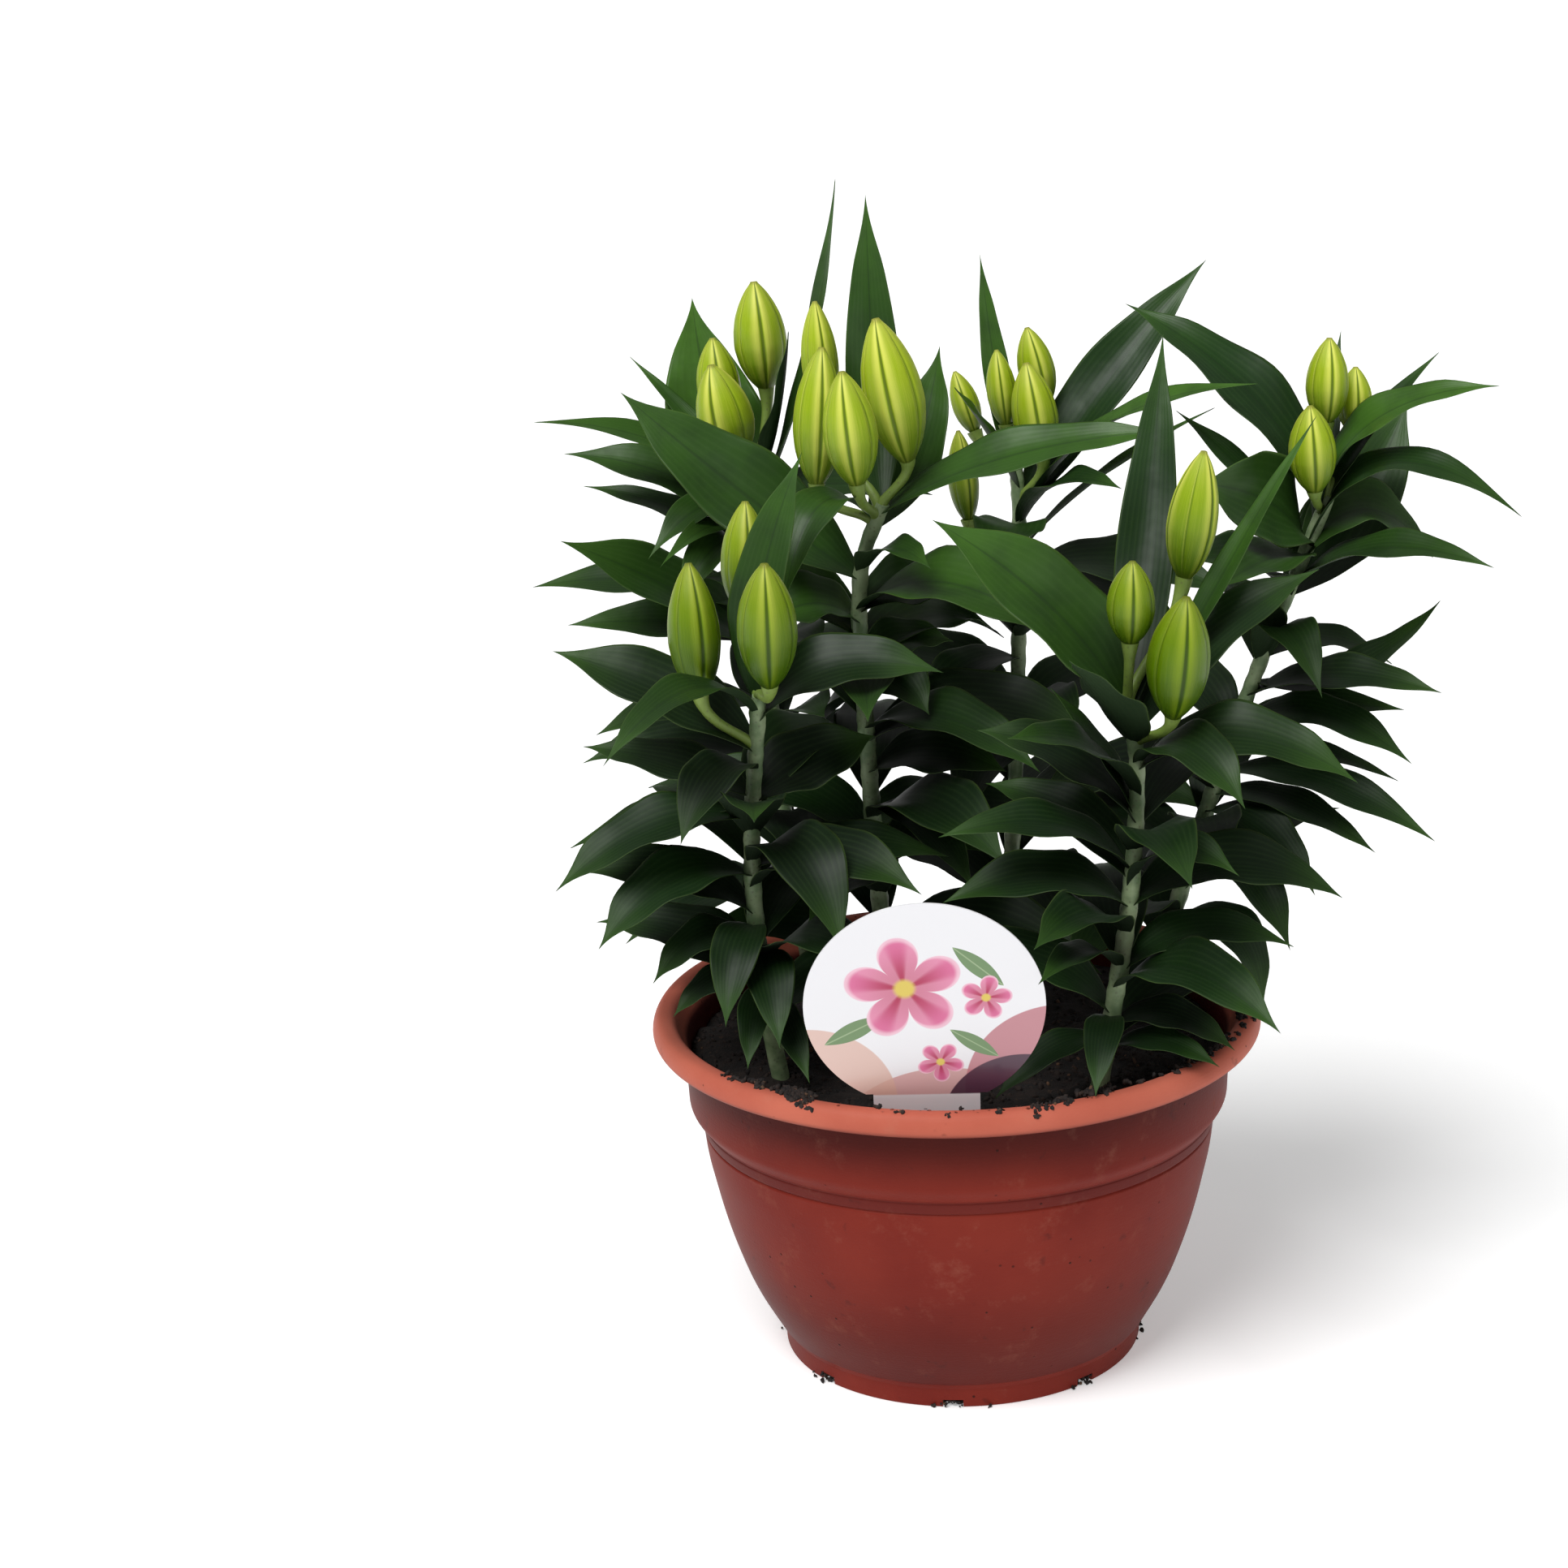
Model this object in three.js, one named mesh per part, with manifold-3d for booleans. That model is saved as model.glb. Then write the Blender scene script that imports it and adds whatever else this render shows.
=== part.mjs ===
// Potted oriental lily: a shallow terracotta bowl with six leafy stems in bud, and a round card label.
// Millimetres, +Z up, the front of the pot towards -Y.
// The origin is the centre of the pot's underside, on the surface that it stands on.
import * as THREE from 'three';
import { mergeVertices } from 'three/addons/utils/BufferGeometryUtils.js';
import Module from 'manifold-3d';

const wasm = await Module();
wasm.setup();

// Driving dimensions of the pot and the soil
const potHeight = 158.5;
const rimRadius = 135;
const wall = 2.5;
const footRadius = 80.5;
const footHeight = 10.5;
const footRingWidth = 9;
const padRadius = 22;
const undersideRise = 3;
const drainHoles = 6;
const drainHoleRadius = 5;
const drainHoleCircle = 48;
const footNotches = 8;
const footNotchWidth = 9;
const footNotchHeight = 3.5;
const footNotchTurn = THREE.MathUtils.degToRad(41.4);
const soilLevel = 142;
const soilRadius = 118;
const soilRings = [80, 40];
const soilWave = 1.6;
const soilEdgeFall = 2.5;
const gap = 0.3;
const holeRoom = 0.4;
const potSides = 28;
const drainHoleSides = 8;

// Driving dimensions of the label
const labelRadius = 49.3;
const labelThickness = 0.8;
const labelCentre = new THREE.Vector3(-13, -124, 202.5);
const labelLean = THREE.MathUtils.degToRad(13);
const neckHalfWidth = 22;
const neckTop = -42.5;
const stakeShoulder = -64;
const stakeTip = -112;
const labelSegments = 22;

// Driving dimensions of the plants
const stemFoot = 112;
const stemRadius = 4.2;
const stemSides = 6;
const stemSteps = 5;
const stemTopRadius = 3;
const stalkRadius = 2.3;
const bulbRadius = 19;
const bulbHeight = 40;
const bulbSides = 6;
const scaleDip = 0.04;
const leafThickness = 1.3;
const frontTurn = 32;
const kneeAlong = 0.3;
const kneeLift = 1.6;
const fallAlong = 0.7;
const fallLift = 1.05;
const leafThinning = 0.4;
const leafFold = THREE.MathUtils.degToRad(16);
// How narrow a leaf is at its root, how far towards its root it is widest, how full its sides are
// and how much of its width it loses towards the tip
const leafNeck = 0.12;
const leafWidest = 0.8;
const leafFullness = 1.2;
const leafFalling = 0.12;
const shownStations = [0.12, 0.3, 0.52, 0.76];
const spiralStations = [0.14, 0.38, 0.7];
const rootZone = 0.16;
const clearSide = 1.5;
const clearFace = 1.4;
const crossingAllowed = 20;

// Driving dimensions of the buds and their stalks
const budSides = 12;
const petalSwell = 0.04;
const midribGroove = 0.05;
const stalkSides = 5;
const stalkSteps = 3;
const stalkFlare = 1.15;
const stalkSpring = 0.25;
const stalkMeet = 0.45;
// Places along a bud's length, with how full it is there
const budSwell = [[0, 0.26], [0.14, 0.68], [0.4, 1], [0.68, 0.86], [0.9, 0.44]];

// Places on each stem's centre line, from the soil to the top of the leafy part
const stemPoints = {
  a: [[-72, -42, stemFoot], [-82, -49, 180], [-85, -54, 245], [-80, -60, 307], [-79, -63, 318]],
  b: [[-28, 18, stemFoot], [-36, 10, 260], [-37, 5, 355], [-27, 1, 384]],
  c: [[-60, 60, stemFoot], [-72, 69, 180], [-81, 72, 270], [-85, 72, 382]],
  d: [[17, 84, stemFoot], [26, 94, 180], [31, 95, 270], [33, 95, 354], [32, 98, 382]],
  e: [[55, -64, stemFoot], [66, -72, 180], [74, -72, 235], [76, -75, 294], [72, -78, 313]],
  f: [[76, 34, stemFoot], [98, 38, 180], [118, 39, 245], [141, 40, 309], [168, 45, 374]],
};

// Buds: the tip and the foot of each, its greatest width and how high on the stem its stalk starts
const budPlaces = {
  a: [
    { tip: [-83, -40, 395], foot: [-84, -44, 347], width: 21, from: 314 },
    { tip: [-106, -60, 374], foot: [-103, -65, 319], width: 22, from: 292 },
    { tip: [-73, -95, 381], foot: [-73, -88, 328], width: 25, from: 316 },
  ],
  b: [
    { tip: [-54, 20, 468], foot: [-51, 22, 420], width: 16, from: 380 },
    { tip: [-51, 4, 451], foot: [-55, 2, 392], width: 22, from: 374 },
    { tip: [-42, -28, 446], foot: [-37, -24, 397], width: 23, from: 376 },
    { tip: [-28, -5, 464], foot: [-16, 1, 402], width: 26, from: 382 },
  ],
  c: [
    { tip: [-83, 82, 468], foot: [-79, 80, 420], width: 24, from: 380 },
    { tip: [-102, 78, 444], foot: [-98, 77, 404], width: 20, from: 372 },
    { tip: [-101, 48, 437], foot: [-92, 51, 393], width: 25, from: 358 },
  ],
  d: [
    { tip: [24, 103, 432], foot: [28, 101, 397], width: 14, from: 376 },
    { tip: [38, 108, 441], foot: [46, 108, 405], width: 17, from: 380 },
    { tip: [37, 90, 428], foot: [44, 89, 384], width: 21, from: 362 },
    { tip: [5, 118, 420], foot: [14, 114, 392], width: 13, from: 376 },
    { tip: [6, 90, 398], foot: [10, 90, 356], width: 14, from: 340 },
  ],
  e: [
    { tip: [105, -60, 416], foot: [97, -57, 362], width: 21, from: 312 },
    { tip: [74, -91, 378], foot: [73, -88, 343], width: 20, from: 312 },
    { tip: [95, -100, 365], foot: [90, -92, 313], width: 26, from: 296 },
  ],
  f: [
    { tip: [168, 50, 443], foot: [167, 50, 405], width: 19, from: 372 },
    { tip: [181, 62, 428], foot: [181, 61, 398], width: 16, from: 374 },
    { tip: [157, 24, 418], foot: [160, 29, 379], width: 21, from: 366 },
  ],
};

// Leaves that show, one row each: height on the stem, compass direction in degrees (0 is +X and
// -90 the front), reach, rise from foot to tip, width, arch of the middle, roll in degrees
const shownLeaves = {
  a: [
    [292, 171, 85, 42, 38, 6, -12], [308, -139, 95, 2, 22, 20, 0], [304, 0, 78, 21, 32, 16, 20],
    [272, 160, 78, 16, 28, 4, 0], [284, -121, 55, -17, 28, 14, 0], [270, 31, 60, 19, 36, 4, 20],
    [262, -163, 85, -22, 32, 12, 0], [266, 159, 87, -25, 26, 6, 0], [236, -153, 71, -20, 34, 14, 0],
    [242, -57, 73, -21, 36, 26, 0], [240, 15, 86, -4, 30, 8, 0], [213, -103, 50, -27, 24, 14, 0],
    [200, -79, 54, -23, 24, 12, 0], [186, -97, 43, -22, 16, 6, 0], [180, -75, 57, -19, 16, 6, 0],
    [204, -156, 48, -9, 24, 12, 0], [188, -161, 40, -11, 18, 8, 0], [314, 29, 24, 103, 26, 8, 25],
  ],
  b: [
    [383, 108, 43, 127, 26, -10, 0], [376, -133, 63, -24, 24, 26, 0], [378, -8, 127, 38, 30, 9, 10],
    [372, 54, 52, 72, 32, -10, 0], [352, -61, 63, 15, 22, 10, 0], [282, -33, 89, -7, 34, 14, 0],
    [245, -43, 60, -25, 24, 12, 0], [300, -44, 40, -4, 32, 10, 0], [308, 17, 42, 10, 30, 8, 0],
    [350, 169, 103, 80, 46, -2, -34], [335, 11, 55, 4, 42, 8, 0], [262, -15, 62, 4, 40, 8, 0],
    [330, -170, 45, 0, 40, 10, 0],
  ],
  c: [
    [370, 125, 49, 87, 48, -12, -28], [370, -25, 44, 146, 16, -8, 35], [348, 178, 99, 62, 22, 20, 0],
    [364, 155, 67, 68, 12, 4, 0], [350, -179, 87, 43, 30, 12, -10], [340, 164, 84, 35, 20, 8, 0],
    [342, -138, 63, 13, 26, 26, 0], [330, -123, 74, 26, 18, 24, 0], [297, -160, 93, 65, 42, 6, -24],
    [330, -168, 56, 18, 28, 26, 0], [275, -151, 87, 1, 30, 8, 0], [240, -40, 79, 68, 34, 8, 0],
    [318, 161, 115, 13, 28, 10, -10], [304, -172, 89, 31, 28, 6, -10], [372, -9, 80, 3, 36, 6, 0],
    [300, -62, 56, 15, 40, 8, 0], [262, -56, 58, 13, 40, 8, 0], [376, -30, 20, 73, 26, -4, 0],
  ],
  d: [
    [374, 115, 35, 98, 14, -4, 0], [354, 16, 95, 113, 32, 6, 25], [350, -30, 119, 76, 22, 20, 0],
    [352, -45, 70, 28, 24, 12, 0], [340, -13, 90, 69, 10, 6, 0], [310, -93, 55, 14, 34, 10, 0],
    [300, -56, 90, 13, 34, 10, 0], [262, -71, 79, 15, 32, 12, 0], [300, -123, 77, 38, 30, 6, 0],
    [290, -138, 67, -20, 30, 10, 0], [352, -143, 52, 10, 36, 6, 0], [330, -18, 100, -3, 40, 8, 0],
    [280, -140, 75, -26, 40, 8, 0], [320, -143, 65, -15, 40, 8, 0], [325, -31, 72, -23, 40, 10, 0],
    [368, -155, 31, 51, 20, 2, 0],
  ],
  e: [
    [310, 75, 75, 146, 27, -6, 0], [306, 175, 80, 86, 48, 10, -24], [300, 14, 84, 63, 34, 10, 0],
    [288, -48, 61, -6, 32, 16, 0], [240, -164, 84, 25, 28, 14, 0], [262, 177, 66, 41, 38, 10, 0],
    [232, -38, 54, 17, 26, 16, 0], [196, 9, 76, 6, 26, 14, 0], [172, -17, 54, -6, 22, 10, 0],
    [160, -31, 54, 3, 18, 8, 0], [176, -107, 48, -17, 18, 10, 0], [166, -146, 59, -13, 18, 8, 0],
    [198, -129, 80, 20, 20, 10, 0], [225, -171, 79, 8, 34, 12, 0], [298, 18, 80, 124, 14, 2, 0],
    [296, -121, 56, 50, 32, 2, 0], [262, -177, 35, 59, 14, 4, 0],
  ],
  f: [
    [366, 155, 97, 87, 38, 14, 0], [360, 60, 52, 80, 12, 0, 0], [370, 18, 50, 66, 14, 4, 0],
    [364, -11, 77, 60, 28, 20, 0], [350, -14, 94, 18, 24, 32, 0], [332, -32, 97, 21, 26, 14, 0],
    [352, -143, 64, 53, 48, 8, -74], [330, 44, 84, 77, 44, -10, 10], [345, 153, 60, 64, 18, 6, 0],
    [300, -117, 50, 54, 34, 10, 0], [292, -10, 82, 39, 26, -14, 0], [285, -25, 93, 13, 30, 8, 0],
    [270, -24, 82, -8, 28, 14, 0], [250, -23, 100, -22, 26, 10, 0], [262, -7, 76, -21, 14, 6, 0],
    [240, -22, 76, -20, 22, 8, 0], [232, -47, 65, -25, 26, 12, 0], [214, -51, 62, -32, 26, 14, 0],
    [300, -64, 67, 11, 26, 22, 0], [302, 9, 66, -10, 24, 10, 0], [346, 22, 62, -14, 42, 22, 0],
    [180, -42, 49, -31, 26, 20, 0], [330, -146, 55, 18, 40, 8, 0], [348, -163, 79, -10, 38, 4, 0],
  ],
};

// Leaves between them follow the spiral of the stem: first height, count, first direction, and
// their middle reach and width. Rise, arch and roll have one middle value for all.
const spiralLeaves = {
  a: { low: 170, count: 9, start: 20, reach: 84, width: 34 },
  b: { low: 168, count: 15, start: 200, reach: 94, width: 38 },
  c: { low: 168, count: 9, start: 80, reach: 88, width: 36 },
  d: { low: 170, count: 9, start: 150, reach: 92, width: 38 },
  e: { low: 165, count: 11, start: 40, reach: 82, width: 32 },
  f: { low: 170, count: 9, start: 100, reach: 86, width: 34 },
};
const spiralTurn = 137.5;
const spiralSpacing = 12;
const spiralRise = 16;
const spiralArch = 14;
// How far the reach, rise, width, arch and roll stray from their middle values
const spiralStray = { pace: 2.4, reach: 10, rise: -18, width: 3, arch: 4, roll: 8 };

// A leaf that would touch a neighbouring plant is turned and lifted by the first of these that clears it
const nudges = [
  [0, 0], [6, 0], [-6, 0], [0, 6], [0, -6], [12, 0], [-12, 0], [8, 10], [-8, 10], [8, -10], [-8, -10],
  [18, 4], [-18, 4], [0, 16], [0, -16], [24, 8], [-24, 8], [24, -10], [-24, -10], [32, 0], [-32, 0],
  [40, 12], [-40, 12], [40, -16], [-40, -16],
];

const material = (color, roughness) => new THREE.MeshStandardMaterial({ color, roughness, metalness: 0 });
const materials = {
  pot: material(0x9a4c38, 0.55),
  soil: material(0x1c1512, 1),
  stem: material(0x2c4a22, 0.45),
  bud: material(0xa3b82c, 0.4),
  bulb: material(0xcdbd92, 0.7),
  label: material(0xe6e4e2, 0.35),
};

const up = new THREE.Vector3(0, 0, 1);
const vector = (point) => new THREE.Vector3(...point);
const radians = THREE.MathUtils.degToRad;
const samePlace = 1e-4;
const halvings = 24;

// A closed geometry becomes a solid that can be joined and cut
function solid(geometry) {
  const plain = geometry.clone();
  plain.deleteAttribute('normal');
  plain.deleteAttribute('uv');
  const merged = mergeVertices(plain, samePlace);
  return new wasm.Manifold(new wasm.Mesh({
    numProp: 3,
    vertProperties: new Float32Array(merged.attributes.position.array),
    triVerts: new Uint32Array(merged.index.array),
  }));
}

function geometryOf(body) {
  const mesh = body.getMesh();
  const geometry = new THREE.BufferGeometry();
  geometry.setAttribute('position', new THREE.BufferAttribute(new Float32Array(mesh.vertProperties), 3));
  geometry.setIndex(new THREE.BufferAttribute(new Uint32Array(mesh.triVerts), 1));
  geometry.computeVertexNormals();
  return geometry;
}

// Rings of points, all with the same count, are skinned into one closed surface
function skin(rings, firstPole, lastPole) {
  const sides = rings[0].length;
  const points = rings.flat();
  const faces = [];
  for (let ring = 0; ring + 1 < rings.length; ring += 1) {
    for (let side = 0; side < sides; side += 1) {
      const next = (side + 1) % sides;
      const low = ring * sides;
      const high = low + sides;
      faces.push(low + side, low + next, high + next, low + side, high + next, high + side);
    }
  }
  const first = points.push(firstPole) - 1;
  const last = points.push(lastPole) - 1;
  const top = (rings.length - 1) * sides;
  for (let side = 0; side < sides; side += 1) {
    const next = (side + 1) % sides;
    faces.push(first, next, side, last, top + side, top + next);
  }
  const geometry = new THREE.BufferGeometry().setFromPoints(points);
  geometry.setIndex(faces);
  return geometry;
}

// A round stem along a curve, thinner towards its top, with a frame that turns as little as it can
function taperedStem(curve, lowRadius, highRadius, sides, steps) {
  const rings = [];
  let across = new THREE.Vector3(1, 0, 0);
  for (let step = 0; step <= steps; step += 1) {
    const t = step / steps;
    const tangent = curve.getTangent(t);
    across = across.clone().addScaledVector(tangent, -across.dot(tangent)).normalize();
    const other = new THREE.Vector3().crossVectors(tangent, across);
    const radius = THREE.MathUtils.lerp(lowRadius, highRadius, t);
    const ring = [];
    for (let side = 0; side < sides; side += 1) {
      const angle = side / sides * 2 * Math.PI;
      ring.push(curve.getPoint(t)
        .addScaledVector(across, radius * Math.cos(angle))
        .addScaledVector(other, radius * Math.sin(angle)));
    }
    rings.push(ring);
  }
  return skin(rings, curve.getPoint(0), curve.getPoint(1));
}

// The stem's centre line, and the place on it at a given height
const stemCurve = (name) => new THREE.CatmullRomCurve3(stemPoints[name].map(vector));

function stemPlace(curve, height) {
  let low = 0;
  let high = 1;
  for (let halving = 0; halving < halvings; halving += 1) {
    const middle = (low + high) / 2;
    if (curve.getPoint(middle).z < height) low = middle;
    else high = middle;
  }
  return curve.getPoint(low);
}

// The midline of a leaf, its sideways direction and its width along the way
function leafShape(foot, row, nudge, stations) {
  const [, direction, reach, rise, width, arch, roll] = row;
  const compass = radians(direction + nudge[0]);
  const outward = new THREE.Vector3(Math.cos(compass), Math.sin(compass), 0);
  const side = new THREE.Vector3(-outward.y, outward.x, 0);
  const chord = outward.clone().multiplyScalar(reach).addScaledVector(up, rise + nudge[1]);
  const lift = new THREE.Vector3().crossVectors(chord, side).normalize();
  const knee = foot.clone().addScaledVector(chord, kneeAlong).addScaledVector(lift, arch * kneeLift);
  const fall = foot.clone().addScaledVector(chord, fallAlong).addScaledVector(lift, arch * fallLift);
  const tip = foot.clone().add(chord);
  return {
    line: new THREE.CubicBezierCurve3(foot, knee, fall, tip),
    side,
    width,
    roll: radians(roll + frontTurn * Math.cos(compass)),
    stations,
  };
}

// A lily leaf is narrow where it leaves the stem, widest before its middle and long-pointed
function leafWidth(t) {
  const full = Math.sin(Math.PI * t ** leafWidest) ** leafFullness;
  return leafNeck + (1 - leafNeck) * full * (1 - leafFalling * t);
}

// The blade is a shallow channel: two edges, a sunk middle above and a keel below
function blade(shape, { extraSide = 0, extraFace = 0, skipRoot = false } = {}) {
  const rings = shape.stations.slice(skipRoot ? 1 : 0).map((t) => {
    const centre = shape.line.getPoint(t);
    const tangent = shape.line.getTangent(t);
    const side = shape.side.clone().applyAxisAngle(tangent, shape.roll * Math.sqrt(t));
    const face = new THREE.Vector3().crossVectors(tangent, side).normalize();
    const half = shape.width / 2 * leafWidth(t) + extraSide;
    const thick = leafThickness / 2 * (1 - leafThinning * t) + extraFace;
    const edge = face.clone().multiplyScalar(half * Math.sin(leafFold));
    const reach = side.clone().multiplyScalar(half * Math.cos(leafFold));
    return [
      centre.clone().add(edge).sub(reach),
      centre.clone().addScaledVector(face, thick),
      centre.clone().add(edge).add(reach),
      centre.clone().addScaledVector(face, -thick),
    ];
  });
  const tip = shape.line.getPoint(1).addScaledVector(shape.line.getTangent(1), extraSide);
  return skinBlade(rings, shape.line.getPoint(skipRoot ? rootZone : 0), tip);
}

// Each side of the blade is split into triangles alike above and below, from its edge to the middle
function skinBlade(rings, root, tip) {
  const points = rings.flat();
  const faces = [];
  for (let ring = 0; ring + 1 < rings.length; ring += 1) {
    const at = ring * 4;
    for (const edge of [0, 2]) {
      for (const middle of [1, 3]) {
        const outside = edge === 0 ? middle === 3 : middle === 1;
        const low = at + edge;
        const across = at + 4 + middle;
        if (outside) faces.push(low, at + middle, across, low, across, low + 4);
        else faces.push(low, across, at + middle, low, low + 4, across);
      }
    }
  }
  const last = (rings.length - 1) * 4;
  const start = points.push(root) - 1;
  const end = points.push(tip) - 1;
  for (let corner = 0; corner < 4; corner += 1) {
    const next = (corner + 1) % 4;
    faces.push(last + next, last + corner, end, corner, next, start);
  }
  const geometry = new THREE.BufferGeometry().setFromPoints(points);
  geometry.setIndex(faces);
  return geometry;
}

// Leaf rows that follow the stem's spiral, with the sizes that the plant has at that height
function spiralRows(name) {
  const { low, count, start, reach, width } = spiralLeaves[name];
  const rows = [];
  for (let order = 0; order < count; order += 1) {
    const height = low + order * spiralSpacing;
    const stray = Math.sin(order * spiralStray.pace + start);
    rows.push([
      height,
      start + order * spiralTurn,
      reach + spiralStray.reach * stray,
      spiralRise + spiralStray.rise * stray,
      width + spiralStray.width * stray,
      spiralArch + spiralStray.arch * stray,
      spiralStray.roll * stray,
    ]);
  }
  return rows;
}

// A bud: round in section with three broad petals, each with a grooved midrib
function budGeometry(place) {
  const foot = vector(place.foot);
  const axis = vector(place.tip).sub(foot);
  const length = axis.length();
  axis.normalize();
  const across = new THREE.Vector3(1, 0, 0).addScaledVector(axis, -axis.x).normalize();
  const other = new THREE.Vector3().crossVectors(axis, across);
  const rings = budSwell.map(([along, fullness]) => {
    const ring = [];
    for (let side = 0; side < budSides; side += 1) {
      const angle = side / budSides * 2 * Math.PI;
      const onMidrib = side % (budSides / 3) === 0;
      const petal = 1 + petalSwell * Math.cos(3 * angle) - (onMidrib ? midribGroove : 0);
      const radius = place.width / 2 * fullness * petal;
      ring.push(foot.clone().addScaledVector(axis, along * length)
        .addScaledVector(across, radius * Math.cos(angle))
        .addScaledVector(other, radius * Math.sin(angle)));
    }
    return ring;
  });
  return skin(rings, foot, vector(place.tip));
}

// The stalk leaves the stem sideways and ends square under its bud
function stalkGeometry(curve, place) {
  const start = stemPlace(curve, place.from);
  const foot = vector(place.foot);
  const axis = vector(place.tip).sub(foot).normalize();
  const end = foot.addScaledVector(axis, -gap);
  const span = start.distanceTo(end);
  const leaving = start.clone().addScaledVector(up, span * stalkSpring);
  const meeting = end.clone().addScaledVector(axis, -span * stalkMeet);
  const line = new THREE.CubicBezierCurve3(start, leaving, meeting, end);
  return taperedStem(line, stalkRadius, stalkRadius * stalkFlare, stalkSides, stalkSteps);
}

// A turned shape from a closed list of radius and height
function turned(profile, sides) {
  const geometry = new THREE.LatheGeometry(profile.map(([r, z]) => new THREE.Vector2(r, z)), sides);
  return geometry.rotateX(Math.PI / 2);
}

// The bowl's outside from the foot to the rim, and the same line a wall's thickness further in
const bowlOutside = [
  [footRadius + 0.5, footHeight], [footRadius + 3, footHeight + 1.5], [95.5, 33], [105.6, 62],
  [112.8, 94], [114, 104.5], [113.3, 105.5], [114.4, 106.5], [115.2, 110.6], [114.5, 111.6], [115.8, 112.6],
  [120.2, 118], [121.6, 146.5],
];
const bowlInside = [
  [footRadius - 1, undersideRise + wall], [99, 50], [110, 94], [117.5, 120], [119, 146], [122.5, 152],
];

function potGeometry() {
  const inRing = footRadius - footRingWidth;
  const profile = [
    [0, 0], [padRadius, 0], [padRadius + 2, undersideRise], [inRing - 2, undersideRise], [inRing, 0],
    [footRadius, 0], ...bowlOutside, [132, 147.4], [134.6, 150], [rimRadius, 153.4], [131.6, potHeight],
    [127, potHeight], ...[...bowlInside].reverse(), [0, undersideRise + wall],
  ];
  let body = solid(turned(profile, potSides));
  for (let hole = 0; hole < drainHoles; hole += 1) {
    const angle = (hole + 0.5) / drainHoles * 2 * Math.PI;
    const depth = footHeight * 2;
    const drill = new THREE.CylinderGeometry(drainHoleRadius, drainHoleRadius, depth, drainHoleSides);
    drill.rotateX(Math.PI / 2);
    drill.translate(drainHoleCircle * Math.cos(angle), drainHoleCircle * Math.sin(angle), 0);
    body = body.subtract(solid(drill));
  }
  for (let notch = 0; notch < footNotches; notch += 1) {
    const cutter = new THREE.BoxGeometry(footRingWidth * 2, footNotchWidth, footNotchHeight * 2);
    cutter.translate(footRadius - footRingWidth / 2, 0, 0);
    cutter.rotateZ(footNotchTurn + notch / footNotches * 2 * Math.PI);
    body = body.subtract(solid(cutter));
  }
  return geometryOf(body);
}

// The soil fills the pot up to its level and is a little heaped and uneven on top
function soilRelief(x, y) {
  const edge = Math.hypot(x, y) / soilRadius;
  return soilWave * Math.sin(x * 0.11 + 1) * Math.cos(y * 0.09) - soilEdgeFall * edge ** 6;
}

function soilSolid() {
  const inner = gap + 0.2;
  const floor = undersideRise + wall + gap;
  const side = bowlInside.filter(([, z]) => z < soilLevel).map(([r, z]) => [r - inner, z + gap]);
  const top = [soilRadius, ...soilRings, 0].map((r) => [r, soilLevel]);
  const profile = [[0, floor], ...side, ...top];
  const geometry = turned(profile, potSides);
  const places = geometry.attributes.position;
  for (let point = 0; point < places.count; point += 1) {
    if (places.getZ(point) > soilLevel - 1) {
      places.setZ(point, soilLevel + soilRelief(places.getX(point), places.getY(point)));
    }
  }
  return solid(geometry);
}

// A bulb of overlapping scales, and the smooth pocket that it fills
function bulbProfile(grow) {
  const outline = [[0.5, 0.03], [1, 0.4], [0.75, 0.72], [0.3, 0.95]];
  const points = outline.map(([r, z]) => {
    return [bulbRadius * r + grow, (z - 1) * bulbHeight + grow * (z - 0.5) * 2];
  });
  return [[0, -bulbHeight - grow], ...points, [0, grow * 6]];
}

function bulbGeometry() {
  const geometry = turned(bulbProfile(0), bulbSides);
  const places = geometry.attributes.position;
  for (let point = 0; point < places.count; point += 1) {
    const x = places.getX(point);
    const y = places.getY(point);
    const scale = 1 - scaleDip * (1 + Math.cos(bulbSides / 2 * Math.atan2(y, x)));
    places.setXY(point, x * scale, y * scale);
  }
  return geometry;
}

// The label's outline in its own plane, with its disc's centre at the origin
function labelShape(grow) {
  const shape = new THREE.Shape();
  const half = neckHalfWidth + grow;
  const radius = labelRadius + grow;
  const join = Math.acos(-neckTop / labelRadius);
  shape.absarc(0, 0, radius, -Math.PI / 2 + join, Math.PI * 1.5 - join, false);
  shape.lineTo(-half, neckTop);
  shape.lineTo(-half, stakeShoulder);
  shape.lineTo(0, stakeTip - grow);
  shape.lineTo(half, stakeShoulder);
  shape.lineTo(half, neckTop);
  return shape;
}

function labelGeometry(grow) {
  const depth = labelThickness + 2 * grow;
  const sheet = { depth, bevelEnabled: false, curveSegments: labelSegments };
  const geometry = new THREE.ExtrudeGeometry(labelShape(grow), sheet);
  geometry.translate(0, 0, -depth / 2);
  geometry.rotateX(Math.PI / 2 + labelLean);
  return geometry.translate(labelCentre.x, labelCentre.y, labelCentre.z);
}

const lily = new THREE.Group();

function addMesh(name, geometry, look) {
  const mesh = new THREE.Mesh(geometry, look);
  mesh.name = name;
  lily.add(mesh);
}

const names = Object.keys(stemPoints);
const curves = Object.fromEntries(names.map((name) => [name, stemCurve(name)]));

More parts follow.
